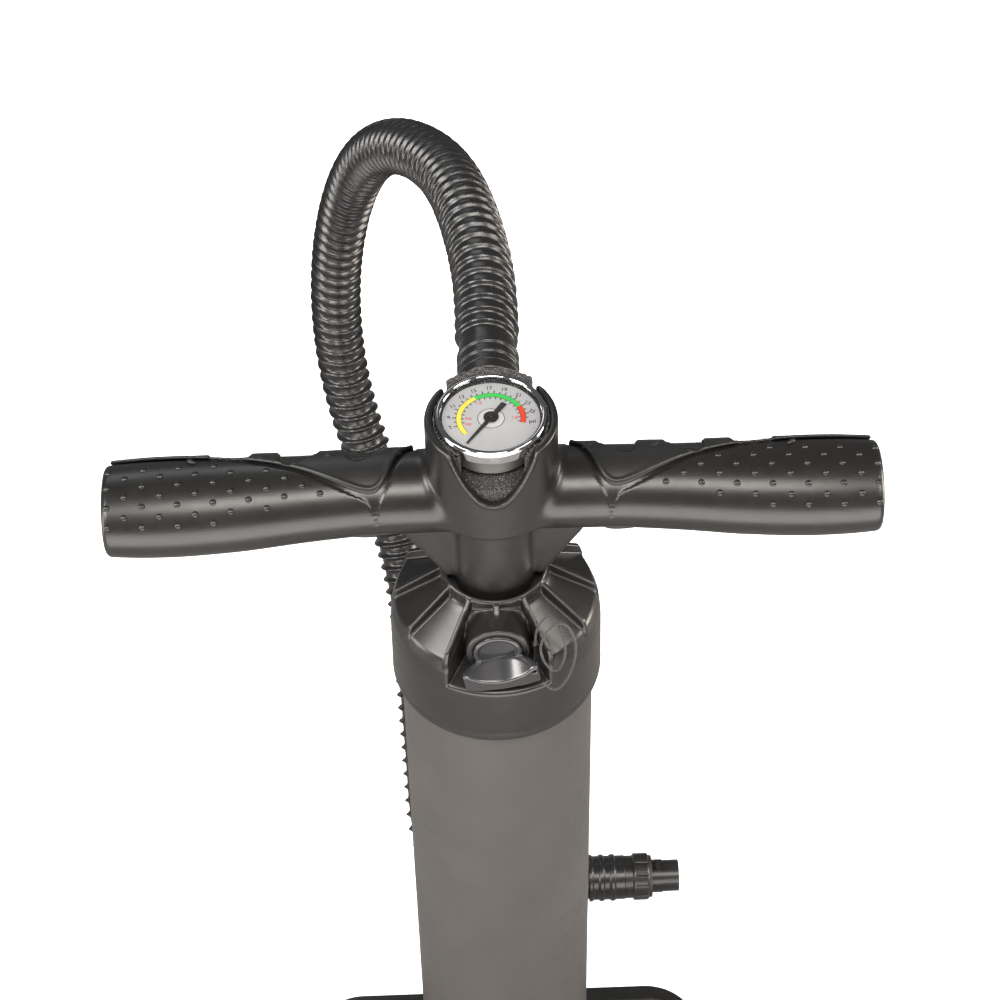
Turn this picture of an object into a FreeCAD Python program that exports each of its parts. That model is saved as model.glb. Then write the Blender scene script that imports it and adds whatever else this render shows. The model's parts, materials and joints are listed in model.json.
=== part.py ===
"""Double action hand pump with a T handle, a pressure gauge and a ribbed hose.

Millimetres.  The origin is on the barrel's axis at the floor, +Z is up, the
front of the pump (gauge window and port) faces -Y and the handle lies along X.
Every size is a cell of the "dims" sheet; the bodies and primitives are bound
to those cells, and the two swept pieces read them when the script runs.
"""
import FreeCAD, Part
import os
import re
import Sketcher
from FreeCAD import Placement, Rotation, Vector

DIMS = [
    # Base and barrel
    ("pad_height", 3.0, "rubber pads under the base"),
    ("pad_radius", 10.0, "radius of a rubber pad"),
    ("plate_top", 15.0, "top of the foot plate"),
    ("plate_half_length", 125.0, "half of the foot plate along the handle"),
    ("plate_half_width", 58.0, "half of the foot plate, front to back"),
    ("plate_corner", 34.0, "corner radius of the foot plate"),
    ("boss_radius", 56.0, "socket that holds the barrel"),
    ("boss_top", 48.0, "top of the socket"),
    ("socket_floor", 14.0, "floor of the socket"),
    ("tube_radius", 50.0, "outside of the barrel"),
    ("tube_bore", 47.0, "inside of the barrel"),
    ("tube_top", 464.0, "top edge of the barrel"),
    ("fit_gap", 0.05, "gap between pieces that fit together"),
    ("base_screw_height", 38.0, "height of the screws through the socket"),
    ("intake_circle", 18.0, "circle of the intake holes"),
    ("intake_hole", 4.0, "radius of an intake hole"),
    ("intake_disc_radius", 25.0, "radius of the intake valve disc"),
    ("disc_thickness", 1.5, "thickness of the valve discs"),
    ("post_radius", 3.95, "post that guides the intake disc"),
    ("intake_lift", 2.0, "travel of the intake disc"),
    ("tread_inner", 66.0, "inner end of a foot tread"),
    ("tread_outer", 118.0, "outer end of a foot tread"),
    ("tread_half_width", 46.0, "half width of a foot tread"),
    ("tread_thickness", 2.5, "thickness of a foot tread"),
    # Piston and shaft
    ("piston_bottom", 22.0, "underside of the piston at rest"),
    ("piston_split", 34.0, "joint between the piston's halves"),
    ("piston_top", 52.0, "top of the piston at rest"),
    ("piston_radius", 46.2, "piston body"),
    ("seal_groove", 42.0, "floor of the seal grooves"),
    ("seal_height", 4.8, "height of a piston seal"),
    ("chamber_radius", 40.0, "air chamber inside the piston"),
    ("chamber_top", 42.0, "roof of the air chamber"),
    ("piston_screw_circle", 17.5, "circle of the piston's screws"),
    ("shaft_radius", 15.0, "outside of the shaft"),
    ("shaft_bore", 12.0, "inside of the shaft"),
    ("shaft_bottom", 44.0, "lower end of the shaft"),
    ("shaft_top", 560.0, "upper end of the shaft"),
    # Cap
    ("skirt_bottom", 430.0, "lower edge of the cap"),
    ("skirt_radius", 54.5, "cap at its lower edge"),
    ("shoulder_radius", 54.0, "cap where the dome begins"),
    ("shoulder_height", 468.0, "height where the dome begins"),
    ("dome_edge_radius", 51.0, "outer end of the sloping panels"),
    ("dome_edge_height", 484.0, "height of the panels' outer end"),
    ("dome_top_height", 498.0, "height of the panels at the collar"),
    ("collar_radius", 27.0, "outside of the collar"),
    ("collar_bore", 25.0, "inside of the collar"),
    ("collar_top", 508.0, "top of the collar"),
    ("collar_floor", 494.0, "floor inside the collar"),
    ("rib_width", 2.8, "width of a rib on the dome"),
    ("rib_end_radius", 50.5, "outer end of a rib's straight top"),
    ("rib_end_height", 490.0, "height of that end"),
    ("bay_floor", 475.0, "floor of the bay around the port"),
    ("port_height", 487.0, "axis of the vent port"),
    ("port_radius", 16.0, "outside of the vent port"),
    ("port_mouth", 42.0, "distance of the port's mouth from the axis"),
    ("plug_seat", 36.0, "distance of the port's inner shoulder"),
    ("plug_head_bore", 12.45, "bore for the plug's head"),
    ("plug_stem_bore", 9.0, "bore for the plug's stem"),
    ("guide_radius", 19.0, "outside of the shaft guide"),
    ("guide_bottom", 478.0, "lower end of the shaft guide"),
    ("running_bore", 15.05, "bore of the pieces the shaft runs in"),
    ("seal_chamber", 21.0, "chamber of the floating shaft seal"),
    ("seal_chamber_top", 475.0, "roof of that chamber"),
    ("rod_seal_height", 5.0, "height of the floating seal"),
    # Handle
    ("sleeve_bottom", 500.0, "lower end of the handle's sleeve at rest"),
    ("sleeve_radius", 21.0, "outside of the sleeve"),
    ("hub_bottom", 558.4, "lower edge of the hub"),
    ("hub_radius", 31.0, "hub at its lower edge"),
    ("cup_radius", 32.0, "outside of the gauge cup"),
    ("cup_bore", 28.0, "inside of the gauge cup"),
    ("cup_floor", 583.0, "floor of the gauge cup"),
    ("cup_top", 613.0, "rim of the gauge cup"),
    ("window_radius", 17.0, "round bottom of the gauge window"),
    ("window_height", 602.0, "centre of that round bottom"),
    ("window_mouth", 20.6, "half width of the window at the rim"),
    ("arm_height", 558.0, "axis of the handle's ends"),
    ("arm_length", 190.0, "half of the handle's length"),
    ("root_height", 563.0, "axis of the arms at the hub"),
    ("root_deep", 21.5, "half depth of the arms at the hub"),
    ("root_high", 19.5, "half height of the arms at the hub"),
    ("grip_deep", 25.5, "greatest half depth of the arms"),
    ("grip_high", 22.5, "greatest half height of the arms"),
    ("end_deep", 23.5, "half depth of the arms' ends"),
    ("end_high", 20.5, "half height of the arms' ends"),
    ("grip_thickness", 2.0, "thickness of the soft grips"),
    ("web_half_width", 9.0, "half thickness of the webs"),
    ("web_bottom", 508.5, "lower edge of the webs"),
    # Air way and hose fittings
    ("outlet_height", 587.0, "axis of the hose outlet"),
    ("outlet_bore", 6.5, "air way through the outlet"),
    ("spigot_radius", 12.0, "outside of the outlet's spigot"),
    ("spigot_end", 46.0, "rear end of the spigot"),
    ("nut_radius", 15.6, "outside of the hose nut"),
    ("nut_front", 34.0, "front end of the hose nut"),
    ("nut_end", 50.0, "rear end of the hose nut"),
    ("cuff_end", 70.0, "rear end of the cuff"),
    ("hose_radius", 16.5, "outside of the hose's ribs"),
    ("nozzle_y", 140.0, "distance of the nozzle's axis behind the barrel"),
    ("nozzle_z", 17.0, "height of the nozzle's axis"),
    ("nozzle_cuff_start", 60.0, "where the hose ends at the nozzle"),
    ("nozzle_start", 84.0, "where the nozzle leaves its cuff"),
    ("nozzle_neck", 100.0, "front face of the nozzle's grip"),
    ("nozzle_tip", 120.0, "end of the nozzle"),
    ("nozzle_tip_radius", 10.5, "smooth tip of the nozzle"),
    # Gauge
    ("case_bottom", 597.0, "underside of the gauge"),
    ("case_radius", 22.0, "outside of the gauge case"),
    ("bezel_radius", 27.0, "outside of the bezel"),
    ("bezel_bottom", 608.0, "underside of the bezel"),
    ("bezel_top", 616.0, "top of the bezel"),
    ("bezel_opening", 23.8, "opening of the bezel"),
    ("dial_top", 612.0, "face of the dial"),
    ("pinion_radius", 1.4, "pitch radius of the needle's pinion"),
    ("sector_radius", 8.4, "pitch radius of the sector gear"),
]

# Middle of the hose between the cuff behind the gauge and the cuff of the nozzle.
HOSE_POINTS = [
    (0, 110, 588), (-5, 165, 582), (-20, 240, 559), (-45, 305, 521), (-75, 367, 440),
    (-92, 385, 340), (-86, 370, 238), (-57, 318, 142), (-49, 258, 80), (-46, 205, 38),
    (-36, 162, 20), (-5, 141, 17), (30, 140, 17),
]

# Middle of the plug's cord, from the eyelet on the cap to the plug's tab.
CORD_POINTS = [
    (18.6, -39.4, 488), (20.5, -36, 499), (26, -34, 504), (32, -40, 497), (33, -46, 486),
    (29, -49, 480), (22.5, -47.5, 487), (24.5, -41, 500), (31, -38.5, 504), (38.5, -41, 493),
    (37.5, -47, 482), (34, -53, 478), (27.5, -57, 475), (21.8, -55.8, 479),
]

SCREW_ANGLES = (45, 135, 225, 315)
SHAFT_SCREW_HEIGHTS = ("sleeve_bottom + 20", "sleeve_bottom + 40")

# Sections of an arm: distance from the axis, height, half depth and half height.
ARM_SECTIONS = [
    (18, "root_height", "root_deep", "root_high"),
    (60, "root_height", "root_deep", "root_high"),
    (92, "root_height - 1.5", "root_deep + 1", "root_high + 1"),
    (122, "arm_height + 1.5", "grip_deep - 1", "grip_high - 0.5"),
    (152, "arm_height + 0.5", "grip_deep", "grip_high"),
    (176, "arm_height", "grip_deep - 0.6", "grip_high - 0.6"),
    ("arm_length", "arm_height", "end_deep", "end_high"),
]

doc = FreeCAD.newDocument("hand_pump")
sheet = doc.addObject("Spreadsheet::Sheet", "dims")
ALIASES = set()
for row, (alias, value, meaning) in enumerate(DIMS, start=1):
    sheet.set(f"A{row}", meaning)
    sheet.set(f"B{row}", str(value))
    sheet.setAlias(f"B{row}", alias)
    ALIASES.add(alias)
doc.recompute()

UP = Rotation()
TO_THE_SIDE = Rotation(Vector(0, 0, 1), Vector(1, 0, 0))     # local Z along +X
TO_THE_BACK = Rotation(Vector(0, 0, 1), Vector(0, 1, 0))     # local Z along +Y
TO_THE_FRONT = Rotation(Vector(0, 0, 1), Vector(0, -1, 0))   # local Z along -Y
nodes = []


def cells(formula):
    """Write 'tube_top - 2' as an expression on the sheet's cells."""
    return re.sub(r"[a-z][a-z_]+", lambda m: "dims." + m[0] if m[0] in ALIASES else m[0], str(formula))


def measure(formula):
    """The present value of a formula."""
    return float(sheet.evalExpression(cells(formula)))


def bind(thing, **formulas):
    for name, formula in formulas.items():
        thing.setExpression(name, cells(formula))
    return thing


def place(thing, x=0, y=0, z=0, turn=UP):
    """Put a thing at (x, y, z), each a number or a formula, turned from upright."""
    thing.Placement = Placement(Vector(), turn)
    for axis, formula in (("x", x), ("y", y), ("z", z)):
        if formula != 0:
            thing.setExpression("Placement.Base." + axis, cells(formula))
    return thing


def cylinder(name, radius, height, **where):
    return place(bind(doc.addObject("Part::Cylinder", name), Radius=radius, Height=height), **where)


def block(name, length, width, height, **where):
    solid = bind(doc.addObject("Part::Box", name), Length=length, Width=width, Height=height)
    return place(solid, **where)


def torus(name, ring, section, **where):
    return place(bind(doc.addObject("Part::Torus", name), Radius1=ring, Radius2=section), **where)


def fuse(name, parts):
    joined = doc.addObject("Part::MultiFuse", name)
    joined.Shapes = parts
    return joined


def cut(name, base, *tools):
    """Take the tools from a shape, one after another."""
    for i, tool in enumerate(tools, start=1):
        result = doc.addObject("Part::Cut", f"{name}_{i}")
        result.Base = base
        result.Tool = tool
        base = result
    return base


def common(name, first, second):
    result = doc.addObject("Part::Common", name)
    result.Base = first
    result.Tool = second
    return result


def group(name, parts):
    """Separate solids that share one node, such as a set of screws."""
    together = doc.addObject("Part::Compound", name)
    together.Links = parts
    return together


def node(thing, label):
    """Name a finished sub-part; its label becomes its file's name."""
    thing.Label = label
    nodes.append(thing)
    return thing


def outline(body, name, points, plane):
    """A closed sketch on one of the body's planes, every corner bound to formulas."""
    sketch = body.newObject("Sketcher::SketchObject", name)
    support = next(f for f in body.Origin.OriginFeatures if f.Role == plane)
    sketch.AttachmentSupport = [(support, "")]
    sketch.MapMode = "FlatFace"
    corners = [Vector(measure(x), measure(y), 0) for x, y in points]
    for start, end in zip(corners, corners[1:] + corners[:1]):
        sketch.addGeometry(Part.LineSegment(start, end))
    for i in range(len(points)):
        sketch.addConstraint(Sketcher.Constraint("Coincident", i, 2, (i + 1) % len(points), 1))
    for i, corner in enumerate(points):
        for kind, formula, axis in zip(("DistanceX", "DistanceY"), corner, (-2, -1)):
            if formula == 0:
                sketch.addConstraint(Sketcher.Constraint("PointOnObject", i, 1, axis))
            else:
                size = Sketcher.Constraint(kind, -1, 1, i, 1, measure(formula))
                sketch.setExpression(f"Constraints[{sketch.addConstraint(size)}]", cells(formula))
    return sketch


def turned(name, points, **where):
    """A body revolved about its own Z axis from (radius, height) corners."""
    body = doc.addObject("PartDesign::Body", name)
    sketch = outline(body, name + "_profile", points, "XZ_Plane")
    revolution = body.newObject("PartDesign::Revolution", name + "_turn")
    revolution.Profile = sketch
    revolution.ReferenceAxis = (sketch, ["V_Axis"])
    revolution.Angle = 360
    body.Tip = revolution
    return place(body, **where)


def ring(name, inner, outer, bottom, top, **where):
    """A plain turned ring."""
    return turned(name, [(inner, bottom), (outer, bottom), (outer, top), (inner, top)], **where)


def padded(name, points, length, plane="XY_Plane", **where):
    """A body extruded from an outline: up from the XY plane, or to both sides of the XZ plane."""
    body = doc.addObject("PartDesign::Body", name)
    sketch = outline(body, name + "_outline", points, plane)
    extrusion = body.newObject("PartDesign::Pad", name + "_pad")
    extrusion.Profile = sketch
    extrusion.Midplane = plane == "XZ_Plane"
    bind(extrusion, Length=length)
    body.Tip = extrusion
    return place(body, **where)


def fillet(body, name, radius, chosen):
    """Round the edges of a body's last feature that a test picks."""
    doc.recompute()
    last = body.Tip
    names = [f"Edge{i}" for i, edge in enumerate(last.Shape.Edges, start=1) if chosen(edge)]
    rounding = body.newObject("PartDesign::Fillet", name)
    rounding.Base = (last, names)
    bind(rounding, Radius=radius)
    body.Tip = rounding
    return body


def on_rings(*rings):
    """Pick circular edges by (radius, height)."""
    wanted = [(measure(r), measure(z)) for r, z in rings]

    def chosen(edge):
        if edge.Curve.TypeId != "Part::GeomCircle":
            return False
        here = edge.Curve.Radius, edge.Curve.Center.z
        return any(abs(here[0] - r) < 0.02 and abs(here[1] - z) < 0.02 for r, z in wanted)
    return chosen


def is_upright(edge):
    return abs(edge.tangentAt(edge.FirstParameter).z) > 0.9


def polar(radius, angle):
    """Formulas for the point at an angle, in degrees from +X towards +Y."""
    return {"x": f"({radius}) * cos({angle})", "y": f"({radius}) * sin({angle})"}


def inwards(angle):
    """A turn that points local Z at the main axis from that angle."""
    return Rotation(Vector(0, 0, 1), Rotation(Vector(0, 0, 1), angle).multVec(Vector(-1, 0, 0)))


def screw(name, shank, length, head, head_height, **where):
    """A cross head screw: its shank runs along local Z from the underside of the head."""
    stem = cylinder(name + "_stem", shank, length)
    top = cylinder(name + "_top", head, head_height, z=f"-{head_height}")
    long_side, short_side = head * 1.1, head * 0.28
    slots = [block(f"{name}_slot_{i}", wide, deep, head_height, x=-wide / 2, y=-deep / 2,
                   z=f"-1.5 * {head_height}")
             for i, (wide, deep) in enumerate(((long_side, short_side), (short_side, long_side)))]
    return place(cut(name, fuse(name + "_blank", [stem, top]), *slots), **where)


# ------------------------------------------------------------------ base

def intake_post():
    """The post on the socket's floor that guides the intake disc, with its staked head."""
    top = "socket_floor + disc_thickness + intake_lift + 0.1"
    return turned("intake_post", [
        (0, "socket_floor - 2"), ("post_radius", "socket_floor - 2"), ("post_radius", top),
        (8, top), (8, top + " + 1.4"), (0, top + " + 1.4")])


def base_foot():
    plate = padded("plate", [("-plate_half_length", "-plate_half_width"),
                             ("plate_half_length", "-plate_half_width"),
                             ("plate_half_length", "plate_half_width"),
                             ("-plate_half_length", "plate_half_width")],
                   "plate_top - pad_height", z="pad_height")
    fillet(plate, "plate_corners", "plate_corner", is_upright)
    top = measure("plate_top - pad_height")
    fillet(plate, "plate_rim", 4, lambda edge: all(abs(v.Z - top) < 0.01 for v in edge.Vertexes))
    boss = turned("boss", [(0, "pad_height + 1"), ("boss_radius + 7", "pad_height + 1"),
                           ("boss_radius + 7", "plate_top"), ("boss_radius", "plate_top + 9"),
                           ("boss_radius", "boss_top"), (0, "boss_top")])
    fillet(boss, "boss_rim", 2.5, on_rings(("boss_radius", "boss_top")))
    socket = cylinder("socket", "tube_radius + fit_gap", "boss_top", z="socket_floor")
    groove = ring("base_seal_groove", "tube_radius", "tube_radius + 2.3", 22, 26)
    holes = [cylinder(f"intake_{i}", "intake_hole", "plate_top", z=1, **polar("intake_circle", 60 * i + 30))
             for i in range(6)]
    for i, angle in enumerate(SCREW_ANGLES):
        spot = polar("boss_radius + 2", angle)
        holes.append(cylinder(f"boss_recess_{i}", 3.9, 4.4, z="base_screw_height",
                              turn=inwards(angle), **spot))
        holes.append(cylinder(f"boss_hole_{i}", 1.85, 14, z="base_screw_height",
                              turn=inwards(angle), **spot))
    hollow = cut("base_hollow", fuse("base_blank", [plate, boss]), socket, groove, *holes)
    node(fuse("base", [hollow, intake_post()]), "base_foot")


def base_fittings():
    node(ring("intake_disc", "post_radius + 0.1", "intake_disc_radius", "socket_floor + fit_gap",
              "socket_floor + fit_gap + disc_thickness"), "intake_valve_disc")
    node(torus("base_ring", "tube_radius + 1.18", 1.08, z=24), "base_seal")
    screws = [screw(f"base_screw_{i}", 1.8, 6.2, 3.6, 2.2, z="base_screw_height",
                    turn=inwards(angle), **polar("boss_radius - 2.4", angle))
              for i, angle in enumerate(SCREW_ANGLES)]
    node(group("base_screw_set", screws), "base_screws")
    pads = [cylinder("centre_pad", "pad_radius", "pad_height")]
    for i, (side, end) in enumerate(((1, 1), (-1, 1), (-1, -1), (1, -1))):
        pads.append(cylinder(f"corner_pad_{i}", "pad_radius", "pad_height",
                             x=f"{side} * (plate_half_length - 22)",
                             y=f"{end} * (plate_half_width - 20)"))
    node(group("pad_set", pads), "foot_pads")


def foot_tread(label, inner, outer):
    tread = padded(label + "_body", [(inner, "-tread_half_width"), (outer, "-tread_half_width"),
                                     (outer, "tread_half_width"), (inner, "tread_half_width")],
                   "tread_thickness", z="plate_top")
    end = measure(outer)
    fillet(tread, label + "_corners", "plate_corner - 9",
           lambda edge: is_upright(edge) and abs(edge.Vertexes[0].X - end) < 0.01)
    node(tread, label)


# ------------------------------------------------------------------ barrel and cap

def barrel_tube():
    wall = ring("barrel_wall", "tube_bore", "tube_radius", "socket_floor", "tube_top")
    holes = [cylinder(f"barrel_hole_{i}", 1.85, 14, z="base_screw_height", turn=inwards(angle),
                      **polar("boss_radius + 2", angle)) for i, angle in enumerate(SCREW_ANGLES)]
    node(cut("barrel", wall, *holes), "barrel_tube")


def retainer_screw_holes(name):
    return [cylinder(f"{name}_screw_hole_{i}", 1.25, 13.5, z="tube_top - 4",
                     **polar("guide_radius + 5.6", 120 * i + 90)) for i in range(3)]


def cap_dome():
    """The cap as it is turned, with its ribs all round."""
    dome = turned("cap_dome", [
        ("skirt_radius", "skirt_bottom"), ("shoulder_radius", "shoulder_height"),
        ("shoulder_radius - 0.8", "shoulder_height + 9"), ("dome_edge_radius", "dome_edge_height"),
        ("collar_radius + 3", "dome_top_height"), ("collar_radius", "dome_top_height + 2.5"),
        ("collar_radius", "collar_top"), ("collar_bore", "collar_top"),
        ("collar_bore", "collar_floor"), ("guide_radius + fit_gap", "collar_floor"),
        ("guide_radius + fit_gap", "guide_bottom"), ("shaft_radius + 0.5", "guide_bottom"),
        ("shaft_radius + 0.5", "seal_chamber_top"), ("seal_chamber", "seal_chamber_top"),
        ("seal_chamber", "tube_top"), ("tube_radius + fit_gap", "tube_top"),
        ("tube_radius + fit_gap", "tube_top - 7"), ("tube_radius + 2.3", "tube_top - 7"),
        ("tube_radius + 2.3", "tube_top - 11"), ("tube_radius + fit_gap", "tube_top - 11"),
        ("tube_radius + fit_gap", "skirt_bottom")])
    rib = dome.newObject("PartDesign::Pad", "rib")
    rib.Profile = outline(dome, "rib_outline", [
        ("collar_bore + 1", "dome_top_height - 8"), ("collar_bore + 1", "collar_top - 1"),
        ("rib_end_radius", "rib_end_height"), ("shoulder_radius - 1", "rib_end_height - 5"),
        ("shoulder_radius - 0.1", "shoulder_height + 8"),
        ("shoulder_radius - 0.1", "shoulder_height + 1"),
        ("rib_end_radius", "shoulder_height + 1")], "XZ_Plane")
    rib.Midplane = True
    bind(rib, Length="rib_width")
    ribs = dome.newObject("PartDesign::PolarPattern", "ribs")
    ribs.Originals = [rib]
    ribs.Axis = (next(f for f in dome.Origin.OriginFeatures if f.Role == "Z_Axis"), [""])
    ribs.Angle = 360
    ribs.Occurrences = 12
    dome.Tip = ribs
    return dome


def port_bay():
    """The space to clear between the two ribs beside the port."""
    sweep = turned("bay_sweep", [
        ("collar_radius + 3.4", "bay_floor"), ("skirt_radius + 4", "bay_floor - 12"),
        ("skirt_radius + 4", "collar_top + 5"), ("collar_radius + 3.4", "collar_top + 5")])
    apex = "rib_width / 2 / sin(30)"
    corner = "60 * tan(30)"
    wedge = padded("bay_wedge", [(0, f"-({apex})"), (f"-{corner}", f"-({apex}) - 60"),
                                 (corner, f"-({apex}) - 60")], 200, z=400)
    return common("bay", sweep, wedge)


def top_cap():
    port = cylinder("port", "port_radius", "port_mouth - collar_bore - 0.6", y="-collar_bore - 0.6",
                    z="port_height", turn=TO_THE_FRONT)
    post = cylinder("eyelet_post", 1, 19, x=18.4, y=-37, z="bay_floor - 8")
    bead = place(bind(doc.addObject("Part::Sphere", "eyelet_bead"), Radius=1.7),
                 18.4, -37, "bay_floor + 12")
    whole = fuse("cap_blank", [cut("open_dome", cap_dome(), port_bay()), port, post, bead])
    head_hole = cylinder("plug_head_hole", "plug_head_bore", 20, y="-plug_seat", z="port_height",
                         turn=TO_THE_FRONT)
    stem_hole = cylinder("plug_stem_hole", "plug_stem_bore", "plug_seat - 27", y=-27, z="port_height",
                         turn=TO_THE_FRONT)
    vent = cylinder("vent_drop", 4.5, "port_height - tube_top + 1", y=-32, z="tube_top - 1")
    node(cut("cap", whole, head_hole, stem_hole, vent, *retainer_screw_holes("cap")), "top_cap")


def cap_fittings():
    node(torus("cap_ring", "tube_radius + 1.18", 1.08, z="tube_top - 9"), "cap_seal")
    node(ring("guide", "running_bore", "guide_radius", "guide_bottom", "collar_floor"), "shaft_guide")
    bumper = ring("bumper", "shaft_radius + 1", "collar_bore - 0.1", "collar_floor",
                  "sleeve_bottom - 0.1")
    fillet(bumper, "bumper_rim", 1.2, on_rings(("collar_bore - 0.1", "sleeve_bottom - 0.1")))
    node(bumper, "stroke_bumper")
    bottom = "seal_chamber_top - rod_seal_height - 0.1"
    node(turned("rod_seal", [
        ("running_bore", bottom), ("seal_chamber - 0.6", bottom),
        ("seal_chamber - 0.6", "seal_chamber_top - 1.6"),
        ("seal_chamber - 2.1", "seal_chamber_top - 0.1"),
        ("running_bore", "seal_chamber_top - 0.1")]), "shaft_seal")
    plate = ring("retainer_plate", "shaft_radius + 2.5", "guide_radius + 9", "tube_top - 3", "tube_top")
    node(cut("retainer", plate, *retainer_screw_holes("retainer")), "seal_retainer")
    screws = [screw(f"retainer_screw_{i}", 1.2, 9, 2.4, 1.6, z="tube_top - 3",
                    **polar("guide_radius + 5.6", 120 * i + 90)) for i in range(3)]
    node(group("retainer_screw_set", screws), "retainer_screws")


def vent_plug():
    """Plug of the vent port; the body's own Z axis points out of the port."""
    stem, head = "plug_stem_bore - 0.08", "plug_head_bore - 0.05"
    body = turned("plug_turning", [
        (0, -6.4), (stem, -6.4), (stem, -4.6), ("plug_stem_bore - 2", -4.6),
        ("plug_stem_bore - 2", -2.4), (stem, -2.4), (stem, 0.05), (head, 0.05), (head, 6.4),
        ("plug_head_bore - 0.9", 7.2), (10.2, 7.2), (9.2, 5.6), (0, 5.6)],
        y="-plug_seat", z="port_height", turn=TO_THE_FRONT)
    bar = padded("plug_bar", [(-11.3, -42.3), (-19, -48.8), (-18.6, -52.2), (-8, -53.8),
                              (8, -53.8), (18.6, -52.2), (19, -48.8), (11.3, -42.3)], 12,
                 z="port_height - 15.2")
    scoop = cylinder("plug_scoop", 33, 30, y=-34, z="port_height + 24", turn=TO_THE_FRONT)
    cord_hole = cylinder("plug_cord_hole", 0.9, 20, x=17, y=-44, z="port_height - 7", turn=TO_THE_FRONT)
    tab = cut("plug_wing", bar, scoop, cord_hole)
    lean = Placement(Vector(), Rotation(Vector(0, 1, 0), -10), Vector(0, 0, measure("port_height")))
    tab.Placement = lean
    node(fuse("plug", [body, tab]), "vent_plug")
    node(torus("plug_ring", "plug_stem_bore - 1", 0.95, y="-plug_seat + 3.5", z="port_height",
               turn=TO_THE_FRONT), "plug_seal")


# ------------------------------------------------------------------ piston and shaft

def piston_lower():
    low = "piston_bottom"
    top = "piston_split"
    half = turned("piston_lower_turning", [
        (0, low), ("piston_radius", low), ("piston_radius", "piston_bottom + 3.5"),
        ("seal_groove", "piston_bottom + 3.5"), ("seal_groove", "piston_bottom + 8.5"),
        ("piston_radius", "piston_bottom + 8.5"), ("piston_radius", top), ("chamber_radius - 0.5", top),
        ("chamber_radius - 0.5", "piston_split + 4.4"), ("chamber_radius - 3", "piston_split + 4.4"),
        ("chamber_radius - 3", top), (1.95, top), (1.95, "piston_split + 3.3"),
        (4.5, "piston_split + 3.3"), (4.5, "piston_split + 4.5"), (0, "piston_split + 4.5")])
    holes = [cylinder(f"lower_air_hole_{i}", 2.8, 14, z="piston_bottom - 1", **polar(8, 60 * i))
             for i in range(6)]
    for i, angle in enumerate(SCREW_ANGLES):
        spot = polar("piston_screw_circle", angle)
        holes.append(cylinder(f"lower_recess_{i}", 2.9, 3, z="piston_bottom - 1", **spot))
        holes.append(cylinder(f"lower_screw_hole_{i}", 1.25, 14, z="piston_bottom - 1", **spot))
    node(cut("piston_lower", half, *holes), "piston_lower_half")


def piston_upper():
    half = turned("piston_upper_turning", [
        ("chamber_radius", "piston_split"), ("piston_radius", "piston_split"),
        ("piston_radius", "piston_top - 9"), ("seal_groove", "piston_top - 9"),
        ("seal_groove", "piston_top - 4"), ("piston_radius", "piston_top - 4"),
        ("piston_radius", "piston_top"), ("shaft_radius + 0.02", "piston_top"),
        ("shaft_radius + 0.02", "shaft_bottom"), ("shaft_bore", "shaft_bottom"),
        ("shaft_bore", "chamber_top"), ("chamber_radius", "chamber_top")])
    pillars = [cylinder(f"pillar_{i}", 2.8, "chamber_top - piston_split + 1", z="piston_split",
                        **polar("piston_screw_circle", angle))
               for i, angle in enumerate(SCREW_ANGLES)]
    holes = [cylinder(f"upper_air_hole_{i}", 3, 14, z="piston_top - 13", **polar(31, 45 * i))
             for i in range(8)]
    holes += [cylinder(f"pillar_hole_{i}", 1.25, 7.5, z="piston_split - 1",
                       **polar("piston_screw_circle", angle))
              for i, angle in enumerate(SCREW_ANGLES)]
    node(cut("piston_upper", fuse("piston_upper_blank", [half] + pillars), *holes),
         "piston_upper_half")


def piston_seal(label, bottom):
    """A lip seal: a ring with a shallow channel in its outer face."""
    inner, outer = "seal_groove + 0.05", "tube_bore - 0.05"
    node(turned(label + "_turning", [
        (inner, bottom), (outer, bottom), (outer, bottom + " + 1.5"), ("tube_bore - 1.5", bottom + " + 2.4"),
        (outer, bottom + " + 3.3"), (outer, bottom + " + seal_height"),
        (inner, bottom + " + seal_height")]), label)


def piston_fittings():
    piston_seal("lower_piston_seal", "piston_bottom + 3.6")
    piston_seal("upper_piston_seal", "piston_top - 8.9")
    node(ring("down_disc", 2.05, 13.5, "piston_split + fit_gap", "piston_split + fit_gap + 1.2"),
         "downstroke_valve_disc")
    node(ring("up_disc", 20.6, "chamber_radius - 0.4", "chamber_top - disc_thickness - fit_gap",
              "chamber_top - fit_gap"), "upstroke_valve_disc")
    screws = [screw(f"piston_screw_{i}", 1.2, 16, 2.6, 1.8, z="piston_bottom + 2",
                    **polar("piston_screw_circle", angle)) for i, angle in enumerate(SCREW_ANGLES)]
    node(group("piston_screw_set", screws), "piston_screws")


def shaft_screw_holes(name, radius):
    return [cylinder(f"{name}_{i}", radius, 14, y="sleeve_radius + 1", z=height, turn=TO_THE_FRONT)
            for i, height in enumerate(SHAFT_SCREW_HEIGHTS)]


def shaft():
    wall = ring("shaft_wall", "shaft_bore", "shaft_radius", "shaft_bottom", "shaft_top")
    node(cut("shaft", wall, *shaft_screw_holes("shaft_hole", 1.65)), "shaft_tube")
    screws = [screw(f"shaft_screw_{i}", 1.6, 5.8, 3.2, 2, y="sleeve_radius - 2.4", z=height,
                    turn=TO_THE_FRONT) for i, height in enumerate(SHAFT_SCREW_HEIGHTS)]
    node(group("shaft_screw_set", screws), "shaft_screws")


# ------------------------------------------------------------------ handle

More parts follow.
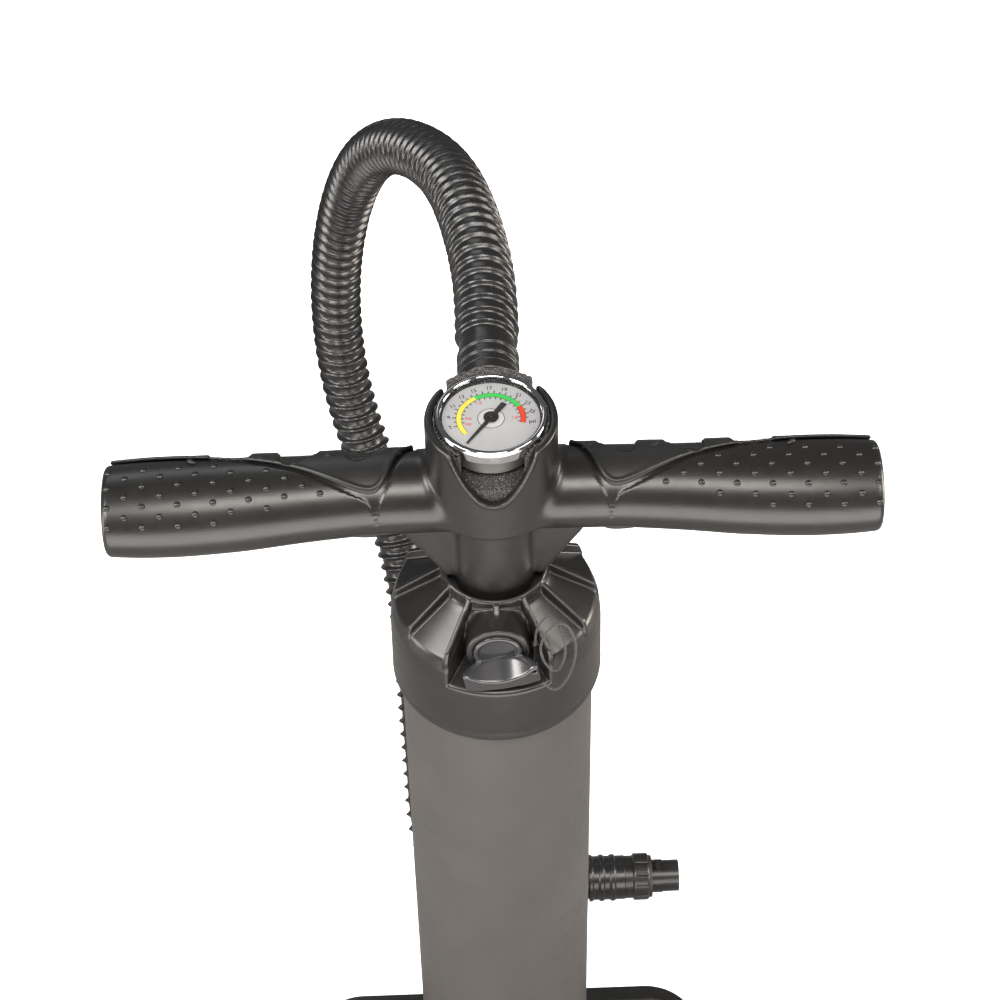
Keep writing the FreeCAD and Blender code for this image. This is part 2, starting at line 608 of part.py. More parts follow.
def arm(name, side, extra=0):
    """One arm lofted through ellipses; extra grows every section by that much."""
    sections = []
    for i, (distance, height, deep, high) in enumerate(ARM_SECTIONS):
        ellipse = doc.addObject("Part::Ellipse", f"{name}_section_{i}")
        bind(ellipse, MajorRadius=f"{deep} + {extra}", MinorRadius=f"{high} + {extra}")
        place(ellipse, x=f"{side} * {distance}", z=height, turn=Rotation(Vector(1, 1, 1), 120))
        sections.append(ellipse)
    loft = doc.addObject("Part::Loft", name)
    loft.Sections = sections
    loft.Solid = True
    return loft


def web(name, side):
    """The triangular web under an arm, beside the sleeve."""
    start, foot, knee = (f"{side} * (sleeve_radius + {more})" for more in (-2.5, 3, 23))
    return padded(name, [(start, "web_bottom"), (foot, "web_bottom"), (knee, "web_bottom + 32"),
                         (knee, "arm_height"), (start, "arm_height")],
                  "2 * web_half_width", "XZ_Plane")


def hub():
    """Sleeve, hub and gauge cup in one turning, with the shaft socket and the riser in it."""
    socket = "shaft_radius + 0.02"
    body = turned("hub_turning", [
        (socket, "sleeve_bottom"), ("sleeve_radius", "sleeve_bottom"), ("sleeve_radius", "hub_bottom"),
        ("hub_radius", "hub_bottom"), ("cup_radius", "cup_top - 18"), ("cup_radius", "cup_top"),
        ("cup_bore", "cup_top"), ("cup_bore", "cup_floor"), (14, "cup_floor"), (14, "case_bottom"),
        (5, "case_bottom"), (5, "outlet_height + 2"), (8, "outlet_height + 2"), (8, "shaft_top"),
        (socket, "shaft_top")])
    return fillet(body, "cup_rim", 1.9, on_rings(("cup_radius", "cup_top"), ("cup_bore", "cup_top")))


def gauge_window(name):
    """The rounded notch in the front of the cup, as a tool."""
    mouth = padded(name + "_mouth", [("-window_radius", "window_height"),
                                     ("window_radius", "window_height"),
                                     ("window_mouth", "cup_top"), ("window_mouth", "cup_top + 5"),
                                     ("-window_mouth", "cup_top + 5"), ("-window_mouth", "cup_top")],
                   20, "XZ_Plane", y=-30)
    bottom = cylinder(name + "_bottom", "window_radius", 20, y=-20, z="window_height",
                      turn=TO_THE_FRONT)
    return fuse(name, [mouth, bottom])


def handle_body():
    outlet_axis = {"z": "outlet_height", "turn": TO_THE_BACK}
    back_gap = block("back_gap", 43, 20, 30, x=-21.5, y=18, z="cup_top - 13")
    cup = cut("open_hub", hub(), gauge_window("window"), back_gap)
    outlet = fuse("outlet_blank", [
        cup, cylinder("outlet_wall", 9, 19, y=9, **outlet_axis),
        turned("outlet_spigot", [
            (0, 28.5), (13, 28.5), (13, "nut_front - 0.2"), ("spigot_radius", "nut_front - 0.2"),
            ("spigot_radius", "spigot_end"), (0, "spigot_end")], **outlet_axis)])
    groove = ring("spigot_groove", "spigot_radius - 1.9", "spigot_radius + 1",
                  "spigot_end - 4.1", "spigot_end - 1.9", **outlet_axis)
    recesses = [cylinder(f"shaft_recess_{i}", 3.5, 3.5, y="sleeve_radius + 1", z=height,
                         turn=TO_THE_FRONT) for i, height in enumerate(SHAFT_SCREW_HEIGHTS)]
    bored = cut("bored_hub", outlet, cylinder("air_way", "outlet_bore", 50, **outlet_axis), groove,
                *recesses, *shaft_screw_holes("sleeve_hole", 1.65))
    arms = [arm("left_arm", -1), arm("right_arm", 1)]
    node(fuse("handle", [bored] + arms + [web("left_web", -1), web("right_web", 1)]), "handle_body")


def grip(label, side):
    """The soft grip over the back of an arm; its edge sweeps forward beside the hub."""
    plan = [(186, 17), (150, 15.5), (120, 10), (100, 2), (80, -8), (64, -14), (58, -15), (52, -12),
            (45.5, 2), (44.5, 9.5), (38, 14), (38, 40), (186, 40)]
    area = padded(label + "_area", [(side * x, y) for x, y in plan], 80, z="arm_height - 40")
    shell = cut(label + "_shell", arm(label + "_outer", side, "grip_thickness"),
                arm(label + "_inner", side))
    node(common(label, shell, area), label + "_pad")


# ------------------------------------------------------------------ hose and nozzle

def ringed_cuff(inner, start, end, pitch):
    """Corners of a cuff with raised rings, from start to end along its axis."""
    crest, root = "nut_radius", "nut_radius - 0.9"
    corners = [(inner, start), (crest, start)]
    for i in range(3):
        foot = f"{start} + {pitch * i}"
        corners += [(crest, foot + " + 2"), (root, foot + " + 2.8"), (root, foot + f" + {pitch - 1}")]
        if i < 2:
            corners.append((crest, foot + f" + {pitch}"))
    return corners + [(root, end), (inner, end)]


def hose_fittings():
    """The pieces behind the cup; their own Z axis is the hose outlet's."""
    where = {"z": "outlet_height", "turn": TO_THE_BACK}
    node(turned("nut", [
        ("spigot_radius + fit_gap", "nut_front"), ("nut_radius", "nut_front"),
        ("nut_radius", "nut_end"), ("spigot_radius + 0.3", "nut_end"),
        ("spigot_radius + 0.3", "nut_end - 1"), ("spigot_radius + 1.9", "nut_end - 1"),
        ("spigot_radius + 1.9", "spigot_end"), ("spigot_radius + fit_gap", "spigot_end")],
        **where), "hose_nut")
    node(turned("tail", [
        ("outlet_bore", "spigot_end + 0.1"), ("spigot_radius + 1.8", "spigot_end + 0.1"),
        ("spigot_radius + 1.8", "nut_end - 1.1"), ("spigot_radius", "nut_end - 1.1"),
        ("spigot_radius", "cuff_end - 0.1"), ("outlet_bore", "cuff_end - 0.1")],
        **where), "hose_tail")
    node(turned("cuff", ringed_cuff("spigot_radius + fit_gap", "nut_end + 0.1", "cuff_end", 6.6),
                **where), "hose_cuff")
    node(torus("spigot_ring", "spigot_radius - 0.92", 0.9, y="spigot_end - 3", z="outlet_height",
               turn=TO_THE_BACK), "spigot_seal")


def hose():
    """The hose's outer envelope, swept along a smooth curve."""
    start = Vector(0, measure("cuff_end + 0.1"), measure("outlet_height"))
    end = Vector(measure("nozzle_cuff_start - 0.1"), measure("nozzle_y"), measure("nozzle_z"))
    path = [start] + [Vector(*point) for point in HOSE_POINTS] + [end]
    lengths = [0.0]
    for here, there in zip(path, path[1:]):
        lengths.append(lengths[-1] + here.distanceToPoint(there))
    curve = Part.BSplineCurve()
    # Unscaled tangents on chord lengths: the default scaling folds the path back near its end.
    curve.interpolate(Points=path, Parameters=lengths, InitialTangent=Vector(0, 1, 0),
                      FinalTangent=Vector(1, 0, 0), Scale=False)
    node(swept("hose_sweep", curve, measure("hose_radius")), "hose")


def swept(name, curve, radius):
    """A round solid along a curve."""
    first = curve.FirstParameter
    circle = Part.Circle(curve.value(first), Vector(*curve.tangent(first)[0]), radius)
    path = Part.Wire(curve.toShape())
    thing = doc.addObject("Part::Feature", name)
    # A pipe of the round face has a light surface; a pipe shell of the same path takes minutes to mesh.
    thing.Shape = path.makePipe(Part.Face(Part.Wire(circle.toShape())))
    thing.Placement = Placement()
    return thing


def plug_cord():
    curve = Part.BSplineCurve()
    curve.interpolate([Vector(*point) for point in CORD_POINTS])
    node(swept("cord_sweep", curve, 0.55), "plug_cord")


def nozzle_fittings():
    """The pieces at the hose's free end; their own Z axis is the nozzle's, along +X."""
    where = {"y": "nozzle_y", "z": "nozzle_z", "turn": TO_THE_SIDE}
    bore, shank = 10.05, 9.98
    node(turned("end_cuff", ringed_cuff(bore, "nozzle_cuff_start", "nozzle_start", 7.4), **where),
         "nozzle_cuff")
    turning = turned("nozzle_turning", [
        ("outlet_bore", "nozzle_cuff_start + 4"), (shank, "nozzle_cuff_start + 4"),
        (shank, "nozzle_start + 0.1"), ("nut_radius - 1.4", "nozzle_start + 0.1"),
        ("nut_radius - 1.4", "nozzle_start + 5"), ("nut_radius", "nozzle_start + 6"),
        ("nut_radius", "nozzle_neck - 1"), ("nut_radius - 1", "nozzle_neck"),
        ("nozzle_tip_radius + 0.5", "nozzle_neck"), ("nozzle_tip_radius + 0.5", "nozzle_tip - 11"),
        ("nozzle_tip_radius", "nozzle_tip - 11"), ("nozzle_tip_radius", "nozzle_tip"),
        ("outlet_bore", "nozzle_tip")], **where)
    lugs = block("lugs", 3.5, 7, 28.6, x="nozzle_neck + 4.5", y="nozzle_y - 3.5", z="nozzle_z - 14.3")
    clear = cylinder("lug_bore", "outlet_bore + 1", 30, x="nozzle_neck - 5", y="nozzle_y",
                     z="nozzle_z", turn=TO_THE_SIDE)
    flutes = [cylinder(f"flute_{i}", 1.6, 10, x="nozzle_start + 7",
                       y=f"nozzle_y + (nut_radius + 0.9) * cos({i * 30})",
                       z=f"nozzle_z + (nut_radius + 0.9) * sin({i * 30})", turn=TO_THE_SIDE)
              for i in range(12)]
    node(cut("nozzle_whole", fuse("nozzle_blank", [turning, cut("lug_pair", lugs, clear)]), *flutes),
         "nozzle")
    node(ring("gasket", "nozzle_tip_radius + 0.55", "nozzle_tip_radius + 3.5", "nozzle_neck + fit_gap",
              "nozzle_neck + 2", **where), "nozzle_gasket")


# ------------------------------------------------------------------ gauge

def gauge_housing():
    flange_bottom, flange_top = "dial_top - 1.8", "dial_top - 0.4"
    node(turned("case", [
        (5, "case_bottom"), ("case_radius", "case_bottom"), ("case_radius", flange_bottom),
        ("bezel_radius - 2.1", flange_bottom), ("bezel_radius - 2.1", flange_top),
        ("case_radius - 1.2", flange_top), ("case_radius - 1.2", "case_bottom + 1.6"),
        (5, "case_bottom + 1.6")]), "gauge_case")
    bezel = turned("bezel", [
        ("case_radius + 0.6", "bezel_bottom"), ("bezel_radius", "bezel_bottom"),
        ("bezel_radius", "bezel_top"), ("bezel_opening", "bezel_top"),
        ("bezel_opening", "bezel_top - 1.15"), ("bezel_radius - 2.05", "bezel_top - 1.15"),
        ("bezel_radius - 2.05", "dial_top - 1.9"), ("case_radius + 0.6", "dial_top - 1.9")])
    fillet(bezel, "bezel_edge", 1.1, on_rings(("bezel_radius", "bezel_top")))
    node(bezel, "gauge_bezel")
    node(ring("dial_plate", 1, "bezel_radius - 2.15", flange_top, "dial_top"), "gauge_dial")
    node(ring("lens_ring", "bezel_opening", "bezel_radius - 2.15", "dial_top + 0.02",
              "bezel_top - 2.42"), "lens_gasket")
    node(cylinder("lens", "bezel_radius - 2.1", 1.2, z="bezel_top - 2.4"), "gauge_lens")


def gauge_works():
    """Stem, pressure tube, toothed sector and needle."""
    stem = cylinder("stem", 4.95, "case_bottom - outlet_height + 4", z="outlet_height + 1")
    bar = block("stem_bar", 8, 23, 3.8, x=-4, y=-19, z="case_bottom + 1.7")
    post = block("stem_post", 6.4, 4, 5, x=-3.2, y=-19, z="case_bottom + 4.5")
    node(cut("stem_whole", fuse("stem_blank", [stem, bar, post]),
             cylinder("stem_bore", 1.5, 13, z="outlet_height")), "gauge_stem")
    tube = torus("pressure_tube", 17, 1.5, z="case_bottom + 7.5",
                 turn=Rotation(Vector(0, 0, 1), -77.8))
    tube.Angle3 = 255
    node(tube, "bourdon_tube")
    pivot = "sector_radius + pinion_radius + fit_gap"
    plate = cylinder("movement_disc", 13, 0.8, z="case_bottom + 5.55")
    pin = cylinder("sector_pin", 0.5, 3.4, y=pivot, z="case_bottom + 5.6")
    node(cut("movement", fuse("movement_blank", [plate, pin]),
             cylinder("arbor_hole", 0.56, 10, z="case_bottom")), "gauge_movement")
    disc = cylinder("sector_disc", "sector_radius", 1, y=pivot, z="case_bottom + 6.6")
    wedge = padded("sector_wedge", [(0, 2.5), ("-12 * tan(35)", -9.5), ("12 * tan(35)", -9.5)], 3,
                   z="case_bottom + 5.6")
    wedge.Placement = Placement(Vector(0, measure(pivot), measure("case_bottom + 5.6")),
                                Rotation(Vector(0, 0, 1), -20.6))
    node(cut("sector", common("sector_blank", disc, wedge),
             cylinder("sector_bore", 0.56, 5, y=pivot, z="case_bottom + 5")), "sector_gear")
    arbor = cylinder("arbor", 0.5, "dial_top - case_bottom - 4.5", z="case_bottom + 5.6")
    pinion = cylinder("pinion", "pinion_radius", 1, z="case_bottom + 6.6")
    node(fuse("needle_shaft", [arbor, pinion]), "needle_arbor")
    pointer = padded("pointer", [(-1.2, -9.6), (1.2, -9.6), (0.95, 0), (0.25, 16.8), (-0.25, 16.8),
                                 (-0.95, 0)], 0.3, z="dial_top + 0.7",
                     turn=Rotation(Vector(0, 0, 1), 144))
    node(cut("needle", pointer, cylinder("needle_hole", 0.52, 5, z="dial_top")), "gauge_needle")
    node(ring("needle_button", 0.52, 3.6, "dial_top + 1.02", "dial_top + 1.42"), "needle_hub")


def gauge_foam():
    """The soft ring between gauge and cup, open where the window shows the case."""
    collar = turned("foam_ring", [
        ("case_radius + 0.1", "cup_floor + 0.2"), ("cup_bore - 0.1", "cup_floor + 0.2"),
        ("cup_bore - 0.1", "dial_top + 0.3"), ("bezel_radius + 0.1", "dial_top + 0.3"),
        ("bezel_radius + 0.1", "bezel_bottom - 0.1"), ("case_radius + 0.1", "bezel_bottom - 0.1")])
    rear = common("foam_rear", ring("foam_rear_ring", "cup_bore - 1", "cup_radius - 1", "cup_top - 12.8",
                                    "dial_top + 0.3"),
                  block("foam_rear_block", 41.5, 20, 30, x=-20.75, y=17, z="cup_top - 20"))
    opening = block("foam_opening", 29.6, 25, 40, x=-14.8, y=-42, z="case_bottom - 2")
    node(cut("foam", fuse("foam_blank", [collar, rear]), opening,
             cylinder("foam_outlet", 9.1, 40, z="outlet_height", turn=TO_THE_BACK)), "gauge_foam")


# ------------------------------------------------------------------ build

base_foot()
base_fittings()
foot_tread("right_foot_tread", "tread_inner", "tread_outer")
foot_tread("left_foot_tread", "-tread_inner", "-tread_outer")
barrel_tube()
top_cap()
cap_fittings()
vent_plug()
piston_lower()
piston_upper()
piston_fittings()
shaft()
handle_body()
grip("left_grip", -1)
grip("right_grip", 1)
hose_fittings()
hose()
nozzle_fittings()
plug_cord()
gauge_housing()
gauge_works()
gauge_foam()
doc.recompute()

for thing in doc.Objects:
    if "Invalid" in thing.State or "Error" in thing.State:
        raise RuntimeError(f"{thing.Label} did not build: {thing.State}")
for thing in nodes:
    if thing.Shape.isNull() or not thing.Shape.isValid():
        raise RuntimeError(f"{thing.Label} has no valid shape")

os.makedirs("parts", exist_ok=True)
for thing in nodes:
    thing.Shape.exportStep(f"parts/{thing.Label}.step")
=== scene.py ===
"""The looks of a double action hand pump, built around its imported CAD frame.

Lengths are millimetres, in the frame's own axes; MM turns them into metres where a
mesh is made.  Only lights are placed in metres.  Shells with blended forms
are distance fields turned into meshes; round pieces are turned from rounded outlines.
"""
import json
import math

import bmesh
import bpy
import numpy as np
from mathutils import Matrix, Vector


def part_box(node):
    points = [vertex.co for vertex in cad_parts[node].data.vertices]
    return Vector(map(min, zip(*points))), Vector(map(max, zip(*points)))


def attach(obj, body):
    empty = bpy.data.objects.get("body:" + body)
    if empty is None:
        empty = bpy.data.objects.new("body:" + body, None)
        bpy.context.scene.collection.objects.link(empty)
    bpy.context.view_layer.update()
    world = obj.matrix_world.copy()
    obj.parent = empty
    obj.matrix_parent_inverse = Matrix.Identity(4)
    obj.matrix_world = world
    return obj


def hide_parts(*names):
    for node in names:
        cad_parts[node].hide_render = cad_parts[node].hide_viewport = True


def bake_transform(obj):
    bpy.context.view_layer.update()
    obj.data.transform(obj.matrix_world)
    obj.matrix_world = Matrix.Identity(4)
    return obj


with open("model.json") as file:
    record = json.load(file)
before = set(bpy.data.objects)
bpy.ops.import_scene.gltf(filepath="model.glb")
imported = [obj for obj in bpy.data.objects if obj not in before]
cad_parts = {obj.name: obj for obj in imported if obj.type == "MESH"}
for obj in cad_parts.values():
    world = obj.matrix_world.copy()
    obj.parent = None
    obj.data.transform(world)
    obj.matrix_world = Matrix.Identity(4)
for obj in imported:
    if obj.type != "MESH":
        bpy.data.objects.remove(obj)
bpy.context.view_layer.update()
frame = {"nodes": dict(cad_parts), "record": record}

import openvdb
from mathutils import Matrix, Vector

MM = 0.001
NODES = frame["nodes"]
SLOTS = {part["node"]: part["material_slot"] for part in frame["record"]["subparts"]}


def span(node):
    """Lowest and highest corner of a CAD node, in millimetres."""
    low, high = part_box(node)
    return np.array(low) / MM, np.array(high) / MM


CAP_LOW, CAP_HIGH = span("top_cap")
HANDLE_LOW, HANDLE_HIGH = span("handle_body")
BEZEL_LOW, BEZEL_HIGH = span("gauge_bezel")
CUFF_LOW, CUFF_HIGH = span("hose_cuff")
TIP_CUFF_LOW, TIP_CUFF_HIGH = span("nozzle_cuff")

TIP_CUFF_AXIS = ((TIP_CUFF_LOW + TIP_CUFF_HIGH) / 2)[1:]

TUBE_RADIUS = span("barrel_tube")[1][0]
TUBE_WALL = 3
SHAFT_BORE, SHAFT_RADIUS = 12, 15
ARM_LENGTH = HANDLE_HIGH[0]
SLEEVE_BOTTOM = HANDLE_LOW[2]
CUP_TOP = HANDLE_HIGH[2]
DIAL_FACE = span("gauge_dial")[1][2]
OUTLET_HEIGHT = (CUFF_LOW[2] + CUFF_HIGH[2]) / 2
SLEEVE_RADIUS = 21.0
HUB_BOTTOM = SLEEVE_BOTTOM + 58.4
CUP_RADIUS, CUP_BORE = 32.0, 28.0
CUP_FLOOR = CUP_TOP - 30
PORT_HEIGHT = CAP_HIGH[2] - 21
HOSE_ROOT, HOSE_CREST, RIB_PITCH = 13.7, 16.4, 9.0
FOAM_SEED = 7


# ------------------------------------------------------------------ shader nodes

class Shader:
    """A material whose nodes are added one by one."""

    def __init__(self, name):
        self.material = bpy.data.materials.new(name)
        self.material.use_nodes = True
        self.tree = self.material.node_tree
        self.skin = self.tree.nodes["Principled BSDF"]
        self.place = self.add("ShaderNodeTexCoord").outputs["Object"]

    def add(self, kind, **values):
        node = self.tree.nodes.new(kind)
        for key, value in values.items():
            setattr(node, key, value)
        return node

    def link(self, source, target):
        self.tree.links.new(source, target)

    def noise(self, scale, detail, stretch=None):
        texture = self.add("ShaderNodeTexNoise")
        texture.inputs["Scale"].default_value = scale
        texture.inputs["Detail"].default_value = detail
        place = self.place
        if stretch:
            mapping = self.add("ShaderNodeMapping")
            mapping.inputs["Scale"].default_value = stretch
            self.link(self.place, mapping.inputs["Vector"])
            place = mapping.outputs["Vector"]
        self.link(place, texture.inputs["Vector"])
        return texture.outputs["Fac"]

    def remap(self, source, low, high, start=0.0, end=1.0):
        spread = self.add("ShaderNodeMapRange")
        limits = {"From Min": start, "From Max": end, "To Min": low, "To Max": high}
        for name, value in limits.items():
            spread.inputs[name].default_value = value
        self.link(source, spread.inputs["Value"])
        return spread.outputs["Result"]

    def mix(self, share, first, second):
        """Mix two colours; each is a colour or an output."""
        blend = self.add("ShaderNodeMix", data_type="RGBA")
        self.link(share, blend.inputs["Factor"])
        for side, value in (("A", first), ("B", second)):
            socket = [s for s in blend.inputs if s.name == side and s.type == "RGBA"][0]
            if isinstance(value, tuple):
                socket.default_value = (*value, 1)
            else:
                self.link(value, socket)
        return [s for s in blend.outputs if s.type == "RGBA"][0]

    def bumps(self, *layers):
        """Stack bump layers of (height output, depth in millimetres)."""
        normal = None
        for height, depth in layers:
            bump = self.add("ShaderNodeBump")
            bump.inputs["Strength"].default_value = 1.0
            bump.inputs["Distance"].default_value = depth * MM
            self.link(height, bump.inputs["Height"])
            if normal:
                self.link(normal, bump.inputs["Normal"])
            normal = bump.outputs["Normal"]
        self.link(normal, self.skin.inputs["Normal"])

    def set(self, **values):
        """Set inputs of the main shader, named in lower case with underscores."""
        for key, value in values.items():
            self.skin.inputs[key.replace("_", " ").title()].default_value = value


def solid(name, colour, rough, grain, grain_depth, swing=0.035, metallic=0.0, streak=None,
          wear=0.25, coat=0.0, sheen=0.0):
    """A moulded, painted or machined surface: uneven colour and gloss, a fine grain, worn edges.

    The roughness swings about its middle; grain is a noise scale and its depth millimetres.
    """
    s = Shader(name)
    broad = s.noise(22, 4)
    fine = s.noise(grain, 2, streak)
    darker = tuple(c * 0.9 for c in colour)
    lighter = tuple(min(1, c * 1.12) for c in colour)
    body = s.mix(s.remap(broad, 0, 1, 0.3, 0.7), darker, lighter)
    edge = s.remap(s.add("ShaderNodeNewGeometry").outputs["Pointiness"], 0, wear, 0.53, 0.62)
    worn = tuple(min(1, c * 1.5 + 0.03) for c in colour)
    s.link(s.mix(edge, body, worn), s.skin.inputs["Base Color"])
    gloss = s.remap(s.noise(140, 5), rough - swing, rough + swing, 0.25, 0.75)
    s.link(gloss, s.skin.inputs["Roughness"])
    s.bumps((broad, grain_depth * 1.5), (fine, grain_depth))
    s.set(metallic=metallic, coat_weight=coat, coat_roughness=0.25, sheen_weight=sheen)
    return s.material


def foam_material():
    """Open foam: dark cells with pale specks on the cell walls."""
    s = Shader("foam_cells")
    cells = s.add("ShaderNodeTexVoronoi")
    cells.inputs["Scale"].default_value = 1150
    s.link(s.place, cells.inputs["Vector"])
    wall = s.remap(cells.outputs["Distance"], 1, 0, 0.1, 0.75)
    specks = s.remap(s.noise(1700, 2), 0, 1, 0.55, 0.68)
    s.link(s.mix(specks, (0.008, 0.008, 0.008), (0.16, 0.155, 0.15)), s.skin.inputs["Base Color"])
    s.set(roughness=0.85, sheen_weight=0.2)
    s.bumps((wall, 0.45))
    return s.material


def glass_material():
    """A thin clear lens: see-through, with a faint smudged reflection."""
    s = Shader("lens_glass")
    clear = s.add("ShaderNodeBsdfTransparent")
    gloss = s.add("ShaderNodeBsdfGlossy")
    s.link(s.remap(s.noise(90, 4), 0.02, 0.09, 0.3, 0.7), gloss.inputs["Roughness"])
    share = s.add("ShaderNodeFresnel")
    share.inputs["IOR"].default_value = 1.35
    blend = s.add("ShaderNodeMixShader")
    s.link(share.outputs["Fac"], blend.inputs["Fac"])
    s.link(clear.outputs["BSDF"], blend.inputs[1])
    s.link(gloss.outputs["BSDF"], blend.inputs[2])
    s.link(blend.outputs["Shader"], s.tree.nodes["Material Output"].inputs["Surface"])
    return s.material


def print_ink(name, colour):
    """Printed ink, a little uneven."""
    return solid(name, colour, 0.45, grain=2500, grain_depth=0.002, swing=0.05, wear=0.0)


def make_materials():
    """The materials by the CAD's slot names."""
    return {
        "barrel_plastic": solid("barrel_satin", (0.050, 0.047, 0.045), 0.42, 900, 0.004),
        "moulded_black": solid("moulded_satin", (0.0105, 0.0102, 0.010), 0.31, 1300, 0.006),
        "gloss_black": solid("polished_black", (0.020, 0.020, 0.022), 0.15, 700, 0.0012, 0.03,
                             coat=0.4),
        "grip_rubber": solid("soft_grip", (0.011, 0.011, 0.011), 0.42, 1100, 0.009),
        "hose_vinyl": solid("vinyl", (0.011, 0.011, 0.0115), 0.27, 500, 0.0015, 0.04),
        "guide_plastic": solid("acetal", (0.72, 0.70, 0.65), 0.42, 900, 0.006),
        "seal_rubber": solid("seal_rubber", (0.016, 0.016, 0.016), 0.55, 1400, 0.010),
        "pad_rubber": solid("tread_rubber", (0.026, 0.026, 0.026), 0.62, 1000, 0.030),
        "foam": foam_material(),
        "cord": solid("twisted_cord", (0.014, 0.0135, 0.0135), 0.6, 3500, 0.05, sheen=0.3),
        "screw_steel": solid("zinc", (0.50, 0.50, 0.52), 0.32, 2000, 0.004, metallic=1.0),
        "shaft_aluminium": solid("drawn_aluminium", (0.52, 0.52, 0.53), 0.30, 1200, 0.0006, 0.03,
                                 metallic=1.0, streak=(1, 1, 0.02)),
        "brass": solid("turned_brass", (0.70, 0.50, 0.20), 0.28, 1500, 0.004, metallic=1.0),
        "chrome": solid("chrome", (0.56, 0.56, 0.57), 0.09, 900, 0.0015, 0.04, metallic=1.0,
                        wear=0.0),
        "case_grey": solid("case_paint", (0.085, 0.082, 0.080), 0.42, 1400, 0.005),
        "dial_white": solid("dial_enamel", (0.50, 0.51, 0.53), 0.5, 1800, 0.001, wear=0.0),
        "needle_black": solid("needle_paint", (0.016, 0.016, 0.016), 0.34, 2500, 0.006),
        "lens_clear": glass_material(),
    }


MATERIALS = make_materials()


# ------------------------------------------------------------------ making pieces

def add_object(name, data):
    """An object with this data, linked into the scene."""
    thing = bpy.data.objects.new(name, data)
    bpy.context.scene.collection.objects.link(thing)
    return thing


def piece(name, mesh, body, slot, *nodes, smooth=True, material=None):
    """Put a mesh in the scene as a piece that rides on a body and stands for CAD nodes."""
    thing = add_object(name, mesh)
    mesh.materials.append(material or MATERIALS[slot])
    mesh.polygons.foreach_set("use_smooth", [smooth] * len(mesh.polygons))
    if body:
        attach(thing, body)
    if nodes:
        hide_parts(*nodes)
    return thing


def mesh_from(name, points, faces):
    """A mesh from points in millimetres."""
    mesh = bpy.data.meshes.new(name)
    mesh.from_pydata((np.asarray(points) * MM).tolist(), [], [tuple(f) for f in faces])
    mesh.validate()
    mesh.update()
    return mesh


def crisp(thing, angle=35):
    """Keep edges sharper than an angle crisp under smooth shading."""
    mesh = thing.data
    mesh.polygons.foreach_set("use_smooth", [True] * len(mesh.polygons))
    mesh.set_sharp_from_angle(angle=math.radians(angle))


def mirrored(mesh):
    """Mirror a mesh of the right-hand side to the left."""
    points = np.zeros(len(mesh.vertices) * 3, np.float32)
    mesh.vertices.foreach_get("co", points)
    points[0::3] *= -1
    mesh.vertices.foreach_set("co", points)
    mesh.flip_normals()
    return mesh


def rounded(corners, radius, steps=5):
    """Round a closed outline's corners with arcs."""
    points = [Vector(c) for c in corners]
    out = []
    for before, here, after in zip(points[-1:] + points[:-1], points, points[1:] + points[:1]):
        a, b = (before - here), (after - here)
        reach = min(radius, a.length * 0.45, b.length * 0.45)
        start, end = here + a.normalized() * reach, here + b.normalized() * reach
        for i in range(steps + 1):
            t = i / steps
            out.append(start * (1 - t) ** 2 + here * (2 * t * (1 - t)) + end * t ** 2)
    return [tuple(p) for p in out]


def lathe(name, corners, radius, turn=None, centre=(0, 0, 0), segments=144, wobble=None):
    """Turn a closed (radius, height) outline about its axis; turn and centre place the axis."""
    outline = rounded(corners, radius)
    count = len(outline)
    points = []
    for i in range(segments):
        angle = 2 * math.pi * i / segments
        for r, z in outline:
            grown = r + (wobble(angle, r) if wobble else 0)
            points.append((grown * math.cos(angle), grown * math.sin(angle), z))
    faces = []
    for i in range(segments):
        ahead = (i + 1) % segments
        for j in range(count):
            k = (j + 1) % count
            faces.append((i * count + j, ahead * count + j, ahead * count + k, i * count + k))
    if turn is not None:
        points = np.array(points) @ np.array(turn).T
    return outward(mesh_from(name, np.array(points) + np.array(centre), faces))


def turned_piece(name, body, slot, node, corners, radius, **how):
    """A lathe piece for one node, its long flats shaded evenly beside their rounded edges."""
    thing = piece(name, lathe(name, corners, radius, **how), body, slot, node)
    thing.modifiers.new("even_normals", "WEIGHTED_NORMAL")


def outward(mesh):
    """Turn a closed mesh's faces outwards."""
    work = bmesh.new()
    work.from_mesh(mesh)
    bmesh.ops.recalc_face_normals(work, faces=work.faces)
    work.to_mesh(mesh)
    work.free()
    return mesh


# From an upright axis to one that points to the back, or to the right-hand side.
TO_BACK = Matrix(((1, 0, 0), (0, 0, 1), (0, -1, 0)))
TO_SIDE = Matrix(((0, 0, 1), (0, 1, 0), (-1, 0, 0)))


# ------------------------------------------------------------------ distance fields

